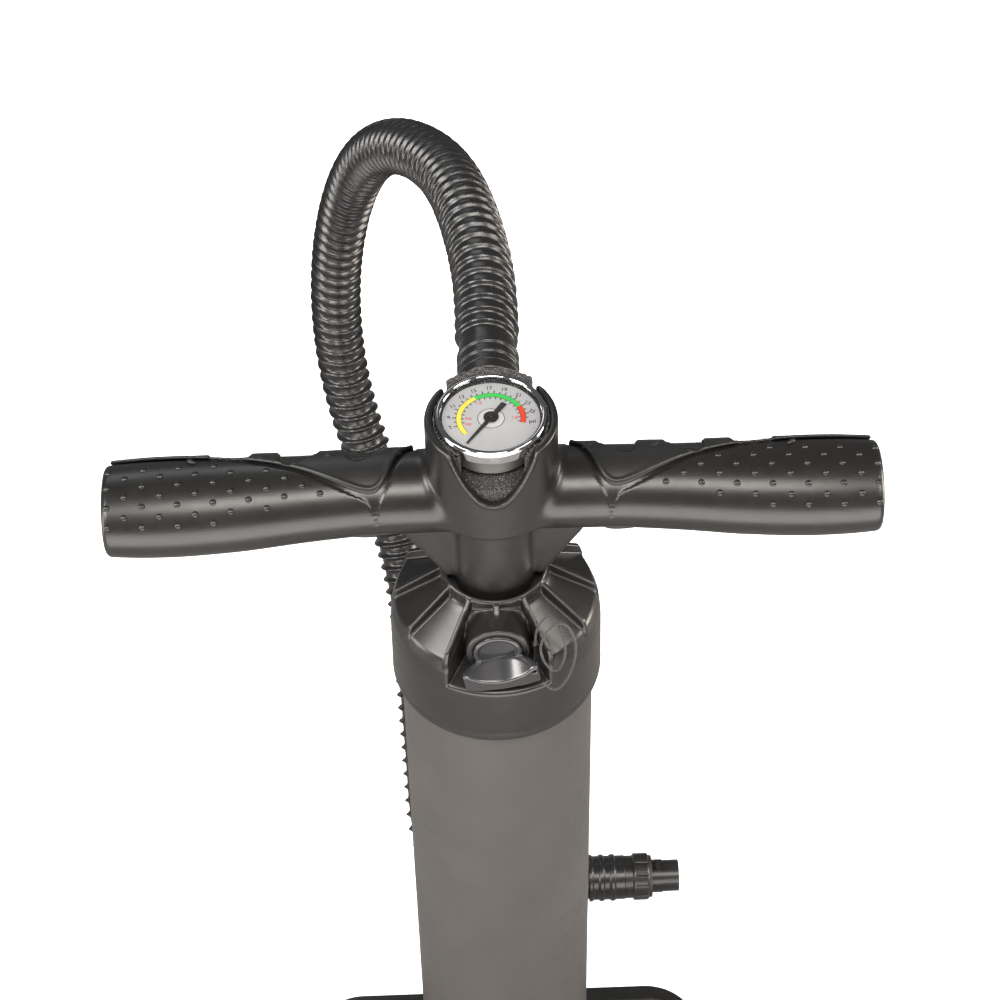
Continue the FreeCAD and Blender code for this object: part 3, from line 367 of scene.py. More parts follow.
class Field:
    """Points of a box in space; every form is a signed distance over them."""

    def __init__(self, low, high, step):
        self.low, self.step = np.array(low, float), step
        x, y, z = (np.arange(a, b, step, dtype=np.float32) for a, b in zip(low, high))
        self.x, self.y, self.z = x[:, None, None], y[None, :, None], z[None, None, :]
        self.r = np.sqrt(self.x ** 2 + self.y ** 2)

    def turned(self, corners, soft):
        """A solid of revolution about the main axis, read from a softened table."""
        fine = 0.25
        rows = np.arange(-3, float(self.r.max()) + 3, fine, dtype=np.float32)
        table = outline_distance(corners, rows[:, None], self.z[0, 0][None, :])
        table = blur(table, 0, soft / fine)
        table = blur(table, 1, soft / self.step)
        at = (self.r[..., 0] - rows[0]) / fine
        left = np.clip(at.astype(int), 0, len(rows) - 2)
        share = (at - left)[..., None]
        return table[left] * (1 - share) + table[left + 1] * share

    def across(self, height):
        """Distance from the front-to-back line at a height."""
        return np.sqrt(self.x ** 2 + (self.z - height) ** 2)

    def mesh(self, name, distance):
        """The surface where a distance is zero."""
        wide = 3 * self.step
        grid = openvdb.FloatGrid(wide)
        shape = (self.x.size, self.y.size, self.z.size)
        values = np.broadcast_to(distance, shape).astype(np.float32)
        grid.copyFromArray(np.ascontiguousarray(np.clip(values, -wide, wide)))
        points, quads = grid.convertToQuads(0.0)
        return mesh_from(name, points * self.step + self.low, quads.tolist())


def outline_distance(corners, u, v):
    """Signed distance to a closed outline; corners on the axis reach past it."""
    points = [(-40.0 if a == 0 else float(a), float(b)) for a, b in corners]
    nearest, inside = np.float32(1e12), False
    for (ax, ay), (bx, by) in zip(points, points[1:] + points[:1]):
        ex, ey = bx - ax, by - ay
        wx, wy = u - ax, v - ay
        t = np.clip((wx * ex + wy * ey) / (ex * ex + ey * ey), 0, 1)
        nearest = np.minimum(nearest, (wx - ex * t) ** 2 + (wy - ey * t) ** 2)
        if ey != 0:
            inside = inside ^ (((ay > v) != (by > v)) & (u < ex * (v - ay) / ey + ax))
    return (np.where(inside, -1, 1) * np.sqrt(nearest)).astype(np.float32)


def plan_distance(corners, u, v):
    """The same for an outline on both sides of u = 0, or far from it."""
    shift = 1000.0
    return outline_distance([(a + shift, b) for a, b in corners], u + shift, v)


def blur(values, axis, sigma):
    """Gaussian blur along one axis; sigma is counted in samples."""
    if sigma < 0.3:
        return values
    reach = int(3 * sigma) + 1
    kernel = np.exp(-0.5 * (np.arange(-reach, reach + 1) / sigma) ** 2).astype(np.float32)
    kernel /= kernel.sum()
    margins = [(reach, reach) if i == axis else (0, 0) for i in range(values.ndim)]
    padded = np.pad(values, margins, "edge")
    length = values.shape[axis]
    out = np.zeros_like(values)
    for i, weight in enumerate(kernel):
        out += weight * padded.take(range(i, i + length), axis=axis)
    return out


def join(a, b, k):
    """Union of two distances with a fillet of about k."""
    h = np.clip(0.5 + 0.5 * (b - a) / k, 0, 1)
    return b + (a - b) * h - k * h * (1 - h)


def take(a, b, k):
    """Take b out of a, with an edge radius of about k."""
    return -join(-a, b, k)


def both(a, b, k):
    """What two distances share, with an edge radius of about k."""
    return -join(-a, -b, k)


def ramp(value, start, end):
    """Rise smoothly from 0 at start to 1 at end."""
    t = np.clip((value - start) / (end - start), 0, 1)
    return t * t * (3 - 2 * t)


# ------------------------------------------------------------------ handle

# The arm's axis height, half depth and half height at these distances from the hub.
ARM_X = (18, 60, 92, 122, 152, 176, 190)
ARM_HEIGHT = np.array((63, 62.4, 60, 57.6, 56.2, 55.6, 55.6)) + SLEEVE_BOTTOM
ARM_DEEP = np.array((21.5, 21.5, 22.5, 24.5, 25.5, 24.9, 23.5))
ARM_HIGH = np.array((19.5, 19.5, 20.5, 22, 22.5, 21.9, 20.5))
# The front edge of the soft grip, in plan from the arm's end to the hub.
GRIP_LIP = [(187, 18.3), (168, 17.6), (150, 15.5), (134, 12.6), (120, 9.4), (106, 5.0),
            (92, -0.9), (80, -6.8), (70, -11.6), (63, -14), (57.5, -14.2), (53.2, -11.2),
            (50, -5), (47, 2.2), (43, 9.8), (38, 14.5)]
LANDS = (146, 112, 79, 46)
WEB_HALF, WINDOW_HALF = 9, 20.6
SPIGOT_RADIUS, SPIGOT_BORE, SHAFT_SOCKET = 11.9, 6.5, 15.05
PIP_RINGS, PIP_SIDES = 4, 14
PIP_RADIUS, PIP_HEIGHT, PIP_SUNK = 1.75, 1.45, 0.3


def smooth_line(points, steps=8):
    """A curve through points, evenly cut between each two."""
    p = np.array(points, float)
    p = np.vstack([2 * p[0] - p[1], p, 2 * p[-1] - p[-2]])
    out = []
    for a, b, c, d in zip(p, p[1:], p[2:], p[3:]):
        for t in np.arange(steps) / steps:
            out.append(0.5 * (2 * b + (c - a) * t + (2 * a - 5 * b + 4 * c - d) * t ** 2
                              + (3 * b - a - 3 * c + d) * t ** 3))
    return [tuple(q) for q in out] + [tuple(p[-2])]


def arm_shape(x):
    """Axis height, half depth and half height of the arms at a distance from the hub."""
    reach, per_mm, soft = 200, 2, 7
    fine = np.linspace(0, reach, reach * per_mm + 1)
    curves = []
    for values in (ARM_HEIGHT, ARM_DEEP, ARM_HIGH):
        line = blur(np.interp(fine, ARM_X, values).astype(np.float32), 0, soft * per_mm)
        curves.append(np.interp(x, fine, line).astype(np.float32))
    return curves


def arm_distance(f):
    """Both arms, endless, as ellipses across x."""
    height, deep, high = arm_shape(np.abs(f.x))
    u, v = f.y / deep, (f.z - height) / high
    inner = np.sqrt(u * u + v * v) + 1e-6
    slope = np.sqrt((u / deep) ** 2 + (v / high) ** 2) + 1e-6
    return inner * (inner - 1) / slope


def web_distance(f):
    """The webs between the sleeve and the arms."""
    corners = [(15, 8.5), (24, 8.5), (44, 40.5), (44, 62), (15, 62)]
    side = plan_distance([(x, SLEEVE_BOTTOM + z) for x, z in corners], np.abs(f.x), f.z)
    return both(side, np.abs(f.y) - WEB_HALF, 1.0)


def window_distance(f):
    """The rounded notch in the front of the cup."""
    low = CUP_TOP - 28
    edge = [(0, 0), (4, 1), (7.9, 4.4), (12.6, 11), (16.5, 18.5), (19.6, 26.5), (WINDOW_HALF, 32)]
    half = smooth_line([(x, low + z) for x, z in edge])
    above = [(WINDOW_HALF, low + 60), (-WINDOW_HALF, low + 60)]
    outline = half + above + [(-a, b) for a, b in half[::-1]][:-1]
    return np.maximum(plan_distance(outline, f.x, f.z), f.y + 6)


def make_handle():
    """Sleeve, hub with the gauge's cup, arms, webs and the hose's spigot, in one shell."""
    f = Field((-ARM_LENGTH - 3, -37, SLEEVE_BOTTOM - 3), (ARM_LENGTH + 3, 50, CUP_TOP + 4), 0.75)
    shell = f.turned([(0, SLEEVE_BOTTOM), (SLEEVE_RADIUS, SLEEVE_BOTTOM),
                      (SLEEVE_RADIUS, HUB_BOTTOM), (31, HUB_BOTTOM), (CUP_RADIUS, CUP_TOP - 18),
                      (CUP_RADIUS, CUP_TOP), (0, CUP_TOP)], 0.7)
    dome = 0.0012 * (f.y ** 2 + (f.z - ARM_HEIGHT[-1]) ** 2)
    arms = both(arm_distance(f), np.abs(f.x) - ARM_LENGTH + dome, 3.5)
    body = join(shell, arms, 5)
    body = join(body, web_distance(f), 1.6)
    outlet = f.across(OUTLET_HEIGHT)
    spigot = both(outlet - SPIGOT_RADIUS, np.abs(f.y - 34) - 11.8, 0.5)
    body = join(body, spigot, 1.0)
    window = window_distance(f)
    lip = both(np.abs(window) - 2.0, np.abs(f.r - CUP_RADIUS + 1.4) - 2.2, 1.0)
    body = join(body, both(lip, f.z - CUP_TOP + 1.5, 0.5), 1.0)
    cup = f.turned([(14, CUP_FLOOR), (CUP_BORE, CUP_FLOOR), (CUP_BORE, CUP_TOP + 20),
                    (0, CUP_TOP + 20), (0, CUP_TOP - 16), (14, CUP_TOP - 16)], 0.3)
    body = take(body, cup, 1.8)
    body = take(body, window, 1.2)
    rear_gap = np.maximum(np.maximum(np.abs(f.x) - 21.5, 18 - f.y), CUP_TOP - 13 - f.z)
    body = take(body, rear_gap, 4.0)
    socket = f.turned([(0, SLEEVE_BOTTOM - 9), (SHAFT_SOCKET, SLEEVE_BOTTOM - 9),
                       (SHAFT_SOCKET, SLEEVE_BOTTOM + 60), (0, SLEEVE_BOTTOM + 60)], 0.2)
    body = take(body, socket, 0.5)
    body = take(body, np.maximum(outlet - SPIGOT_BORE, -f.y), 0.3)
    body = take(body, grip_seat(f), 0.5)
    piece("handle_shell", f.mesh("handle_shell", body), "handle", "moulded_black", "handle_body")


def lip_distance(f, grow=0.0):
    """The soft grip's area in plan, grown by a margin."""
    area = smooth_line(GRIP_LIP) + [(38, 60), (187, 60)]
    return plan_distance(area, np.abs(f.x), f.y) - grow


def grip_seat(f):
    """The shallow step around the soft grip, wider at the tip beside the hub."""
    tip = plan_distance([(64, -13), (56.5, -21.5), (50.5, -9), (57, -8)], np.abs(f.x), f.y)
    tip = np.maximum(tip, arm_shape(np.abs(f.x))[0] - f.z)
    plan = join(lip_distance(f, 1.5), tip, 2.5)
    return both(plan, -(arm_distance(f) + 0.7), 0.4)


def make_grip(side, name, node):
    """One soft grip: a shell on the arm with a beaded lip, scallops between lands, small nubs."""
    f = Field((34, -22, SLEEVE_BOTTOM + 30), (190, 32, SLEEVE_BOTTOM + 86), 0.5)
    arm = arm_distance(f)
    edge = lip_distance(f)
    thick = 1.25 + 0.75 * np.exp(-((edge + 1.3) / 0.9) ** 2)
    for outer, inner in zip(LANDS, LANDS[1:]):
        start, end = outer - 7.5, inner + 5
        outline = [(start, 45), (start, 12), (start - 1.5, 5.5), (start - 6, 2.2),
                   (start - 11, 4.4), (end + 3, 10.5), (end, 17), (end - 1, 45)]
        scallop = plan_distance(smooth_line(outline), f.x, f.y)
        thick = thick - 1.05 * (1 - ramp(scallop, -1.1, 0.1))
    shell = both(arm - thick, -(arm - 0.03), 0.2)
    shell = both(shell, edge, 0.8)
    shell = both(shell, f.x - ARM_LENGTH + 3, 0.5)
    angle = math.radians(113)
    for centre in LANDS:
        height, deep, high = arm_shape(np.float32(centre))
        y, z = -deep * math.cos(angle), height + high * math.sin(angle)
        u = (f.x - centre) * 0.83 + (f.y - y) * 0.55
        v = (f.y - y) * 0.83 - (f.x - centre) * 0.55
        nub = np.sqrt((u / 2.6) ** 2 + (v / 1.3) ** 2 + ((f.z - z - 1.0) / 1.4) ** 2) - 1
        shell = join(shell, nub * 1.3, 0.5)
    mesh = f.mesh(name, shell)
    piece(name, mirrored(mesh) if side < 0 else mesh, "handle", "grip_rubber", node)


def pip_points(base, out, side):
    """Rings of points from a pip's foot to its top."""
    along, across = np.array((1.0, 0, 0)), np.cross(out, (1.0, 0, 0))
    points = []
    for ring in range(PIP_RINGS + 1):
        share = ring / PIP_RINGS * math.pi / 2
        wide = max(PIP_RADIUS * math.cos(share), 0.02)
        tall = PIP_HEIGHT * math.sin(share) - PIP_SUNK
        for k in range(PIP_SIDES):
            turn = 2 * math.pi * k / PIP_SIDES
            spot = base + out * tall + (along * math.cos(turn) + across * math.sin(turn)) * wide
            points.append((spot[0] * side, spot[1], spot[2]))
    return points


def pip_faces(first):
    """A pip's faces, closed at foot and top, from the number of its first point."""
    faces = []
    for foot in range(first, first + PIP_RINGS * PIP_SIDES, PIP_SIDES):
        for k in range(PIP_SIDES):
            a, b = foot + k, foot + (k + 1) % PIP_SIDES
            faces.append((a, b, b + PIP_SIDES, a + PIP_SIDES))
    for start in (first, first + PIP_RINGS * PIP_SIDES):
        faces.append(tuple(range(start, start + PIP_SIDES)))
    return faces


def make_dots(side, name):
    """Low round pips in staggered rows on the front of an arm."""
    points, faces = [], []
    lip_x, lip_y = zip(*GRIP_LIP[::-1])
    for row in range(7):
        degrees = 105 - 12.5 * row
        angle = math.radians(degrees)
        for i in range(8):
            x = 186.5 - 8.5 * (row % 2) - 17.2 * i
            height, deep, high = (float(v) for v in arm_shape(np.float32(x)))
            y = -deep * math.cos(angle)
            lowest = 27 + max(0, 135 - x) * 0.42
            if x < 70 or y > np.interp(x, lip_x, lip_y) - 4.5 or degrees < lowest:
                continue
            base = np.array((x, y, height + high * math.sin(angle)))
            out = np.array((0, y / deep ** 2, (base[2] - height) / high ** 2))
            out /= np.linalg.norm(out)
            faces += pip_faces(len(points))
            points += pip_points(base, out, side)
    piece(name, outward(mesh_from(name, points, faces)), "handle", "moulded_black")


# ------------------------------------------------------------------ cap and vent plug

CAP_RIBS = 12
PORT_RADIUS, PORT_SEAT, PORT_BORE = 15.9, 12.55, 9.1
CORD_POST = (18.4, -37)

def make_cap():
    """A ribbed dome over a skirt, a collar round the shaft, and the vent port in a front bay."""
    f = Field((-57, -57, CAP_LOW[2] - 3), (57, 57, CAP_HIGH[2] + 3), 0.5)
    low, top = CAP_LOW[2], CAP_HIGH[2]
    dome = f.turned([(0, low), (54.5, low), (54.3, low + 6), (53.9, low + 6.4), (54.3, low + 6.8),
                     (54, top - 40), (53.2, top - 31), (51, top - 24), (30, top - 10),
                     (27, top - 7.5), (27, top), (0, top)], 0.9)
    crown = f.turned([(0, top - 60), (50.5, top - 60), (52.2, top - 32), (52.6, top - 25),
                      (50.8, top - 18.4), (26, top - 0.6), (0, top - 0.6)], 0.6)
    for i in range(CAP_RIBS):
        angle = math.radians(360 / CAP_RIBS * i - 90)
        across = np.abs(f.x * -math.sin(angle) + f.y * math.cos(angle)) - 1.35
        along = f.x * math.cos(angle) + f.y * math.sin(angle)
        rib = both(np.maximum(across, 24 - along), crown, 0.5)
        if i == 0:  # the front rib stops at the bay
            rib = np.maximum(rib, along - 33)
        dome = join(dome, rib, 0.9)
    wedge = plan_distance([(0.1, -2.9), (-34.7, -63), (34.9, -63)], f.x, f.y)
    bay = np.maximum(np.maximum(wedge, 33.5 - f.r), top - 33 - 0.28 * (f.r - 30) - f.z)
    dome = take(dome, bay, 2.0)
    across = f.across(PORT_HEIGHT)
    port = both(across - PORT_RADIUS, np.abs(f.y + 33.6) - 8.4, 1.2)
    body = join(dome, port, 1.4)
    aside = (f.x - CORD_POST[0]) ** 2 + (f.y - CORD_POST[1]) ** 2
    bead = np.sqrt(aside + (f.z - PORT_HEIGHT) ** 2) - 1.9
    post = np.maximum(np.sqrt(aside) - 1.1, np.abs(f.z - PORT_HEIGHT + 10) - 10)
    body = join(body, join(bead, post, 0.6), 0.8)
    body = take(body, np.maximum(across - PORT_SEAT, f.y + 36.1), 0.5)
    body = take(body, np.maximum(across - PORT_BORE, np.abs(f.y + 32) - 5.5), 0.3)
    inside = f.turned([(0, low - 9), (50.1, low - 9), (50.1, top - 44), (21, top - 44),
                       (21, top - 33), (15.6, top - 33), (15.6, top - 30), (19.1, top - 30),
                       (19.1, top - 14), (25, top - 14), (25, top + 9), (0, top + 9)], 0.3)
    body = take(body, inside, 0.6)
    piece("cap_shell", f.mesh("cap_shell", body), "barrel", "moulded_black", "top_cap")


def make_plug():
    """The vent plug: a ringed head with a scooped finger tab across it."""
    f = Field((-24, -57, PORT_HEIGHT - 21), (24, -27, PORT_HEIGHT + 16), 0.35)
    body = outline_distance([(0, 29.7), (8.9, 29.7), (8.9, 36.1), (12.3, 36.1), (12.3, 42.6),
                             (11.4, 43.3), (10.2, 43.3), (9.2, 41.4), (0, 41.4)],
                            f.across(PORT_HEIGHT), -f.y)
    lean = math.radians(10)
    u = f.x * math.cos(lean) + (f.z - PORT_HEIGHT) * math.sin(lean)
    w = (f.z - PORT_HEIGHT) * math.cos(lean) - f.x * math.sin(lean)
    half = [(-11.3, -41.8), (-15.6, -45), (-19.2, -49), (-18.8, -51.8), (-12, -53.3)]
    plan = half + [(0, -53.9)] + [(-a, b) for a, b in half[::-1]]
    tab = both(plan_distance(plan, u, f.y), np.abs(w + 9.2) - 6, 1.6)
    scoop = np.maximum(np.sqrt(u ** 2 + (w - 24 - 0.45 * (f.y + 54)) ** 2) - 33, f.y + 34)
    tab = take(tab, scoop, 0.8)
    cord_hole = np.sqrt((u - 17) ** 2 + (w + 7) ** 2) - 0.9
    body = join(body, take(tab, cord_hole, 0.2), 0.9)
    piece("vent_plug_shell", f.mesh("vent_plug_shell", body), "vent_plug", "gloss_black",
          "vent_plug")


# ------------------------------------------------------------------ hose and cord

HOSE_PATH = [(0, 110, 588), (-5, 165, 582), (-20, 240, 559), (-45, 305, 521), (-75, 367, 440),
             (-92, 385, 340), (-86, 370, 238), (-57, 318, 142), (-49, 258, 80), (-46, 205, 38),
             (-36, 162, 20), (-5, 141, 17), (30, 140, 17)]
CORD_PATH = [(18.6, -39.4, 488), (20.5, -36, 499), (26, -34, 504), (32, -40, 497),
             (33, -46, 486), (29, -49, 480), (22.5, -47.5, 487), (24.5, -41, 500),
             (31, -38.5, 504), (38.5, -41, 493), (37.5, -47, 482), (34, -53, 478),
             (27.5, -57, 475), (21.8, -55.8, 479)]
CORD_RADIUS, CORD_TWIST = 0.60, 0.09
CUFF_CREST, CUFF_ROOT, CUFF_RINGS = 15.6, 14.6, 3

def spline(points, start=None, end=None, samples=1500):
    """Evenly spaced points on the cubic spline through points, and its length.

    Directions at its ends may be given; an end without one leaves along its first chord.
    """
    p = np.array(points, float)
    t = np.concatenate([[0], np.cumsum(np.linalg.norm(np.diff(p, axis=0), axis=1))])
    gap, count = np.diff(t), len(p)
    matrix, right = np.zeros((count, count)), np.zeros((count, 3))
    for i in range(1, count - 1):
        matrix[i, i - 1:i + 2] = gap[i], 2 * (gap[i - 1] + gap[i]), gap[i - 1]
        behind, ahead = p[i] - p[i - 1], p[i + 1] - p[i]
        right[i] = 3 * (gap[i] / gap[i - 1] * behind + gap[i - 1] / gap[i] * ahead)
    for row, near, direction in ((0, 1, start), (count - 1, count - 2, end)):
        matrix[row, row] = 1
        if direction is None:
            right[row] = (p[max(row, near)] - p[min(row, near)]) / gap[min(row, near)]
        else:
            right[row] = direction
    slope = np.linalg.solve(matrix, right)
    fine = np.linspace(0, t[-1], samples * 2)
    seg = np.clip(np.searchsorted(t, fine, "right") - 1, 0, count - 2)
    s = ((fine - t[seg]) / gap[seg])[:, None]
    width = gap[seg][:, None]
    line = ((2 * s ** 3 - 3 * s ** 2 + 1) * p[seg] + (s ** 3 - 2 * s ** 2 + s) * width * slope[seg]
            + (3 * s ** 2 - 2 * s ** 3) * p[seg + 1] + (s ** 3 - s ** 2) * width * slope[seg + 1])
    run = np.concatenate([[0], np.cumsum(np.linalg.norm(np.diff(line, axis=0), axis=1))])
    even = np.linspace(0, run[-1], samples)
    return np.stack([np.interp(even, run, line[:, i]) for i in range(3)], 1), run[-1]


def tube_mesh(name, line, around, radius):
    """Sweep a radius(distance, angle) along a line without twist, with closed ends."""
    count = len(line)
    ahead = np.gradient(line, axis=0)
    ahead /= np.linalg.norm(ahead, axis=1)[:, None]
    run = np.concatenate([[0], np.cumsum(np.linalg.norm(np.diff(line, axis=0), axis=1))])
    side = np.cross(ahead[0], (0, 0, 1.0))
    side /= np.linalg.norm(side)
    angle = np.arange(around) * 2 * math.pi / around
    points = []
    for i in range(count):
        side = side - ahead[i] * side.dot(ahead[i])
        side /= np.linalg.norm(side)
        up = np.cross(ahead[i], side)
        r = radius(run[i], angle)
        sideways, upwards = (np.cos(angle) * r)[:, None], (np.sin(angle) * r)[:, None]
        points.append(line[i] + sideways * side + upwards * up)
    index = np.arange(count * around).reshape(count, around)
    a, b = index[:-1], index[1:]
    faces = np.stack([a, np.roll(a, -1, 1), np.roll(b, -1, 1), b], -1).reshape(-1, 4).tolist()
    faces += [index[0].tolist(), index[-1].tolist()[::-1]]
    return outward(mesh_from(name, np.concatenate(points), faces))


def make_hose():
    """The ribbed hose, plain at both ends, from the cuff behind the gauge to the nozzle's."""
    start = (0, CUFF_HIGH[1] + 0.1, OUTLET_HEIGHT)
    tip = (TIP_CUFF_LOW[0] - 0.1, *TIP_CUFF_AXIS)
    line, length = spline([start, *HOSE_PATH, tip], (0, 1, 0), (1, 0, 0))

    def radius(run, angle):
        phase = (run - 5.5) / RIB_PITCH + angle / (2 * math.pi)
        rib = np.exp(-((phase - np.round(phase)) / 0.15) ** 2)
        ribbed = ramp(run, 2.0, 8.0) * ramp(length - run, 1.0, 9.0)
        return HOSE_ROOT + (HOSE_CREST - HOSE_ROOT) * rib * ribbed

    mesh = tube_mesh("ribbed_hose", line, 44, radius)
    hose = piece("ribbed_hose", mesh, None, "hose_vinyl", "hose")
    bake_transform(hose)


def make_cord():
    """The plug's twisted cord, from its post on the cap to the hole in the tab."""
    def radius(run, angle):
        return CORD_RADIUS + CORD_TWIST * np.cos(2 * angle + run * 3.2)

    mesh = tube_mesh("plug_cord_twist", spline(CORD_PATH, samples=700)[0], 12, radius)
    cord = piece("plug_cord_twist", mesh, None, "cord", "plug_cord")
    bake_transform(cord)


def cuff_outline(inner, start, end, pitch):
    """A cuff's outline, with rings a pitch apart and a plain end."""
    corners = [(inner, start), (CUFF_CREST, start)]
    for i in range(CUFF_RINGS):
        foot = start + pitch * i
        corners += [(CUFF_CREST, foot + 2.1), (CUFF_ROOT, foot + 2.9),
                    (CUFF_ROOT, foot + pitch - 1)]
        if i < CUFF_RINGS - 1:
            corners.append((CUFF_CREST, foot + pitch - 0.2))
    return corners + [(CUFF_ROOT, end), (inner, end)]


def make_cuffs():
    """The cuffs at both ends of the hose, and the nut at its upper end."""
    upper = {"turn": TO_BACK, "centre": (0, 0, OUTLET_HEIGHT)}
    turned_piece("hose_cuff_rings", "handle", "hose_vinyl", "hose_cuff",
                 cuff_outline(12.05, CUFF_LOW[1], CUFF_HIGH[1], 6.6), 0.6, **upper)
    turned_piece("nozzle_cuff_rings", "barrel", "hose_vinyl", "nozzle_cuff",
                 cuff_outline(10.05, TIP_CUFF_LOW[0], TIP_CUFF_HIGH[0], 7.4), 0.6,
                 turn=TO_SIDE, centre=(0, *TIP_CUFF_AXIS))
    low, high = (corner[1] for corner in span("hose_nut"))
    turned_piece("hose_nut_ring", "hose_nut", "moulded_black", "hose_nut",
                 [(12.05, low), (15.6, low), (15.6, low + 4), (14.9, low + 4.6),
                  (14.9, high - 5.6), (15.6, high - 5), (15.6, high), (14, high),
                  (14, high - 4), (12.05, high - 4)], 0.5, **upper)


# ------------------------------------------------------------------ barrel, shaft, base

def make_barrel():
    """The barrel and the shaft."""
    for name, body, slot, node, bore, radius, segments in (
            ("barrel_shell", "barrel", "barrel_plastic", "barrel_tube",
             TUBE_RADIUS - TUBE_WALL, TUBE_RADIUS, 224),
            ("shaft_rod", "handle", "shaft_aluminium", "shaft_tube",
             SHAFT_BORE, SHAFT_RADIUS, 160)):
        low, high = (corner[2] for corner in span(node))
        turned_piece(name, body, slot, node, [(bore, low), (radius, low), (radius, high),
                                              (bore, high)], 0.5, segments=segments)


def make_tread(name, node):
    """A foot tread: a rounded rubber mat with crosswise ribs, made on the right-hand side."""
    low, high = span(node)
    inner, outer = sorted((abs(low[0]), abs(high[0])))
    f = Field((inner - 2, low[1] - 2, low[2] - 1.5), (outer + 2, high[1] + 2, high[2] + 1.5), 0.5)
    corner, rib_height, rib_pitch = 24, 0.9, 5.6
    u, v = np.maximum(f.x - outer + corner, 0), np.maximum(np.abs(f.y) - high[1] + corner, 0)
    plan = np.maximum(np.sqrt(u * u + v * v) - corner, inner - f.x)
    ribs = rib_height * (0.5 + 0.5 * np.cos(f.y * 2 * math.pi / rib_pitch)) ** 3
    ribs = ribs * ramp(-plan, 2.5, 4.0)
    top = f.z - (high[2] - 0.95) - ribs
    sheet = both(np.maximum(plan, low[2] + 0.02 - f.z), top, 0.8)
    mesh = f.mesh(name, sheet)
    piece(name, mesh if low[0] > 0 else mirrored(mesh), "barrel", "pad_rubber", node)


# ------------------------------------------------------------------ gauge

DIAL_RADIUS, TICK_WIDTH = 23.3, 0.55
DIAL_START, DIAL_END = -128, 102.6
DIAL_ARCS = (("yellow", (0.93, 0.80, 0.10), DIAL_START, -28),
             ("green", (0.05, 0.62, 0.10), -28, 61),
             ("red", (0.80, 0.06, 0.02), 61, DIAL_END))
DIAL_MARKS = ((7, -105), (9, -86), (11, -64), (13, -43), (15, -23), (17, -1), (19, 20), (21, 43),
              (23, 62), (25, 79))
NEEDLE_ANGLE = -144
TEXT_DEPTH, TEXT_SWELL = 0.01, 0.06

def make_gauge_housing():
    """The gauge's bezel, its case and the seal under its lens."""
    low, high = BEZEL_LOW[2], BEZEL_HIGH[2]
    turned_piece("bezel_ring", "handle", "chrome", "gauge_bezel",
                 [(22.6, low), (26.2, low), (27, low + 0.8), (27, high - 2.2),
                  (26.4, high - 0.5), (25.4, high), (24.6, high - 0.25), (23.8, high - 1.15),
                  (24.95, high - 1.15), (24.95, high - 5.9), (22.6, high - 5.9)], 0.35,
                 segments=224)
    low, high = (corner[2] for corner in span("gauge_case"))
    turned_piece("case_shell", "handle", "case_grey", "gauge_case",
                 [(5, low), (22, low), (22, high - 1.4), (24.9, high - 1.4), (24.9, high),
                  (20.8, high), (20.8, low + 1.6), (5, low + 1.6)], 0.5, segments=192)
    low, high = DIAL_FACE + 0.03, DIAL_FACE + 1.55
    turned_piece("lens_seal", "handle", "seal_rubber", "lens_gasket",
                 [(23.3, low), (24.8, low), (24.8, high), (23.6, high)], 0.2, segments=192)


def make_foam():
    """The foam around the gauge, with a crumbly surface."""
    low, high = (corner[2] for corner in span("gauge_foam"))
    f = Field((-34, -34, low - 2), (34, 34, CUP_TOP + 4), 0.4)
    ring = f.turned([(22.2, low + 0.3), (27.8, low + 0.3), (27.8, high), (27.1, high),
                     (27.1, high - 4.4), (22.2, high - 4.4)], 0.2)
    rear = np.maximum(np.abs(f.r - 29.4) - 2.1, np.maximum(high - 12 - f.z, f.z - CUP_TOP - 1.8))
    rear = np.maximum(rear, np.maximum(np.abs(f.x) - 20.6, 17.2 - f.y))
    body = join(ring, rear, 0.5)
    front = np.maximum(np.abs(f.x) - 15.2, f.y)
    body = take(body, np.maximum(front, CUP_TOP - 17.5 - 0.9 * (f.r - 22) - f.z), 0.8)
    sides = np.maximum(np.maximum(14.3 - f.r, f.r - 27.8), np.maximum(np.abs(f.x) - 19, f.y + 4))
    roof = f.z - (CUP_TOP - 16.6 - 0.35 * (f.r - 14))
    slope = np.maximum(sides, np.maximum(low + 0.3 - f.z, roof))
    body = join(body, slope, 0.8)
    body = take(body, np.maximum(f.across(OUTLET_HEIGHT) - 9.3, -f.y), 0.2)
    random = np.random.default_rng(FOAM_SEED)
    shape = (f.x.size, f.y.size, f.z.size)
    grain = random.standard_normal(shape).astype(np.float32)
    for axis in range(3):
        grain = blur(grain, axis, 1.0)
    body = body + grain / grain.std() * 0.16
    piece("foam_collar", f.mesh("foam_collar", body), "handle", "foam", "gauge_foam")


def dial_point(angle, radius):
    """A point on the dial; angles run clockwise from the back of the pump."""
    return radius * math.sin(math.radians(angle)), radius * math.cos(math.radians(angle))


def flat_pieces(name, outlines, bottom, height, slot, body="handle", *nodes, material=None):
    """Thin closed plates from flat outlines, in one piece."""
    points, faces = [], []
    for outline in outlines:
        first, count = len(points), len(outline)
        for z in (bottom, bottom + height):
            points += [(x, y, z) for x, y in outline]
        faces.append(tuple(range(first, first + count))[::-1])
        faces.append(tuple(range(first + count, first + 2 * count)))
        for i in range(count):
            j = (i + 1) % count
            faces.append((first + i, first + j, first + count + j, first + count + i))
    return piece(name, outward(mesh_from(name, points, faces)), body, slot, *nodes, smooth=False,
                 material=material)


def arc_band(start, end, inner, outer):
    """A band cut into short four-sided plates."""
    steps = max(2, int(abs(end - start) / 3))
    cuts = np.linspace(start, end, steps + 1)
    return [[dial_point(a, inner), dial_point(a, outer), dial_point(b, outer), dial_point(b, inner)]
            for a, b in zip(cuts, cuts[1:])]


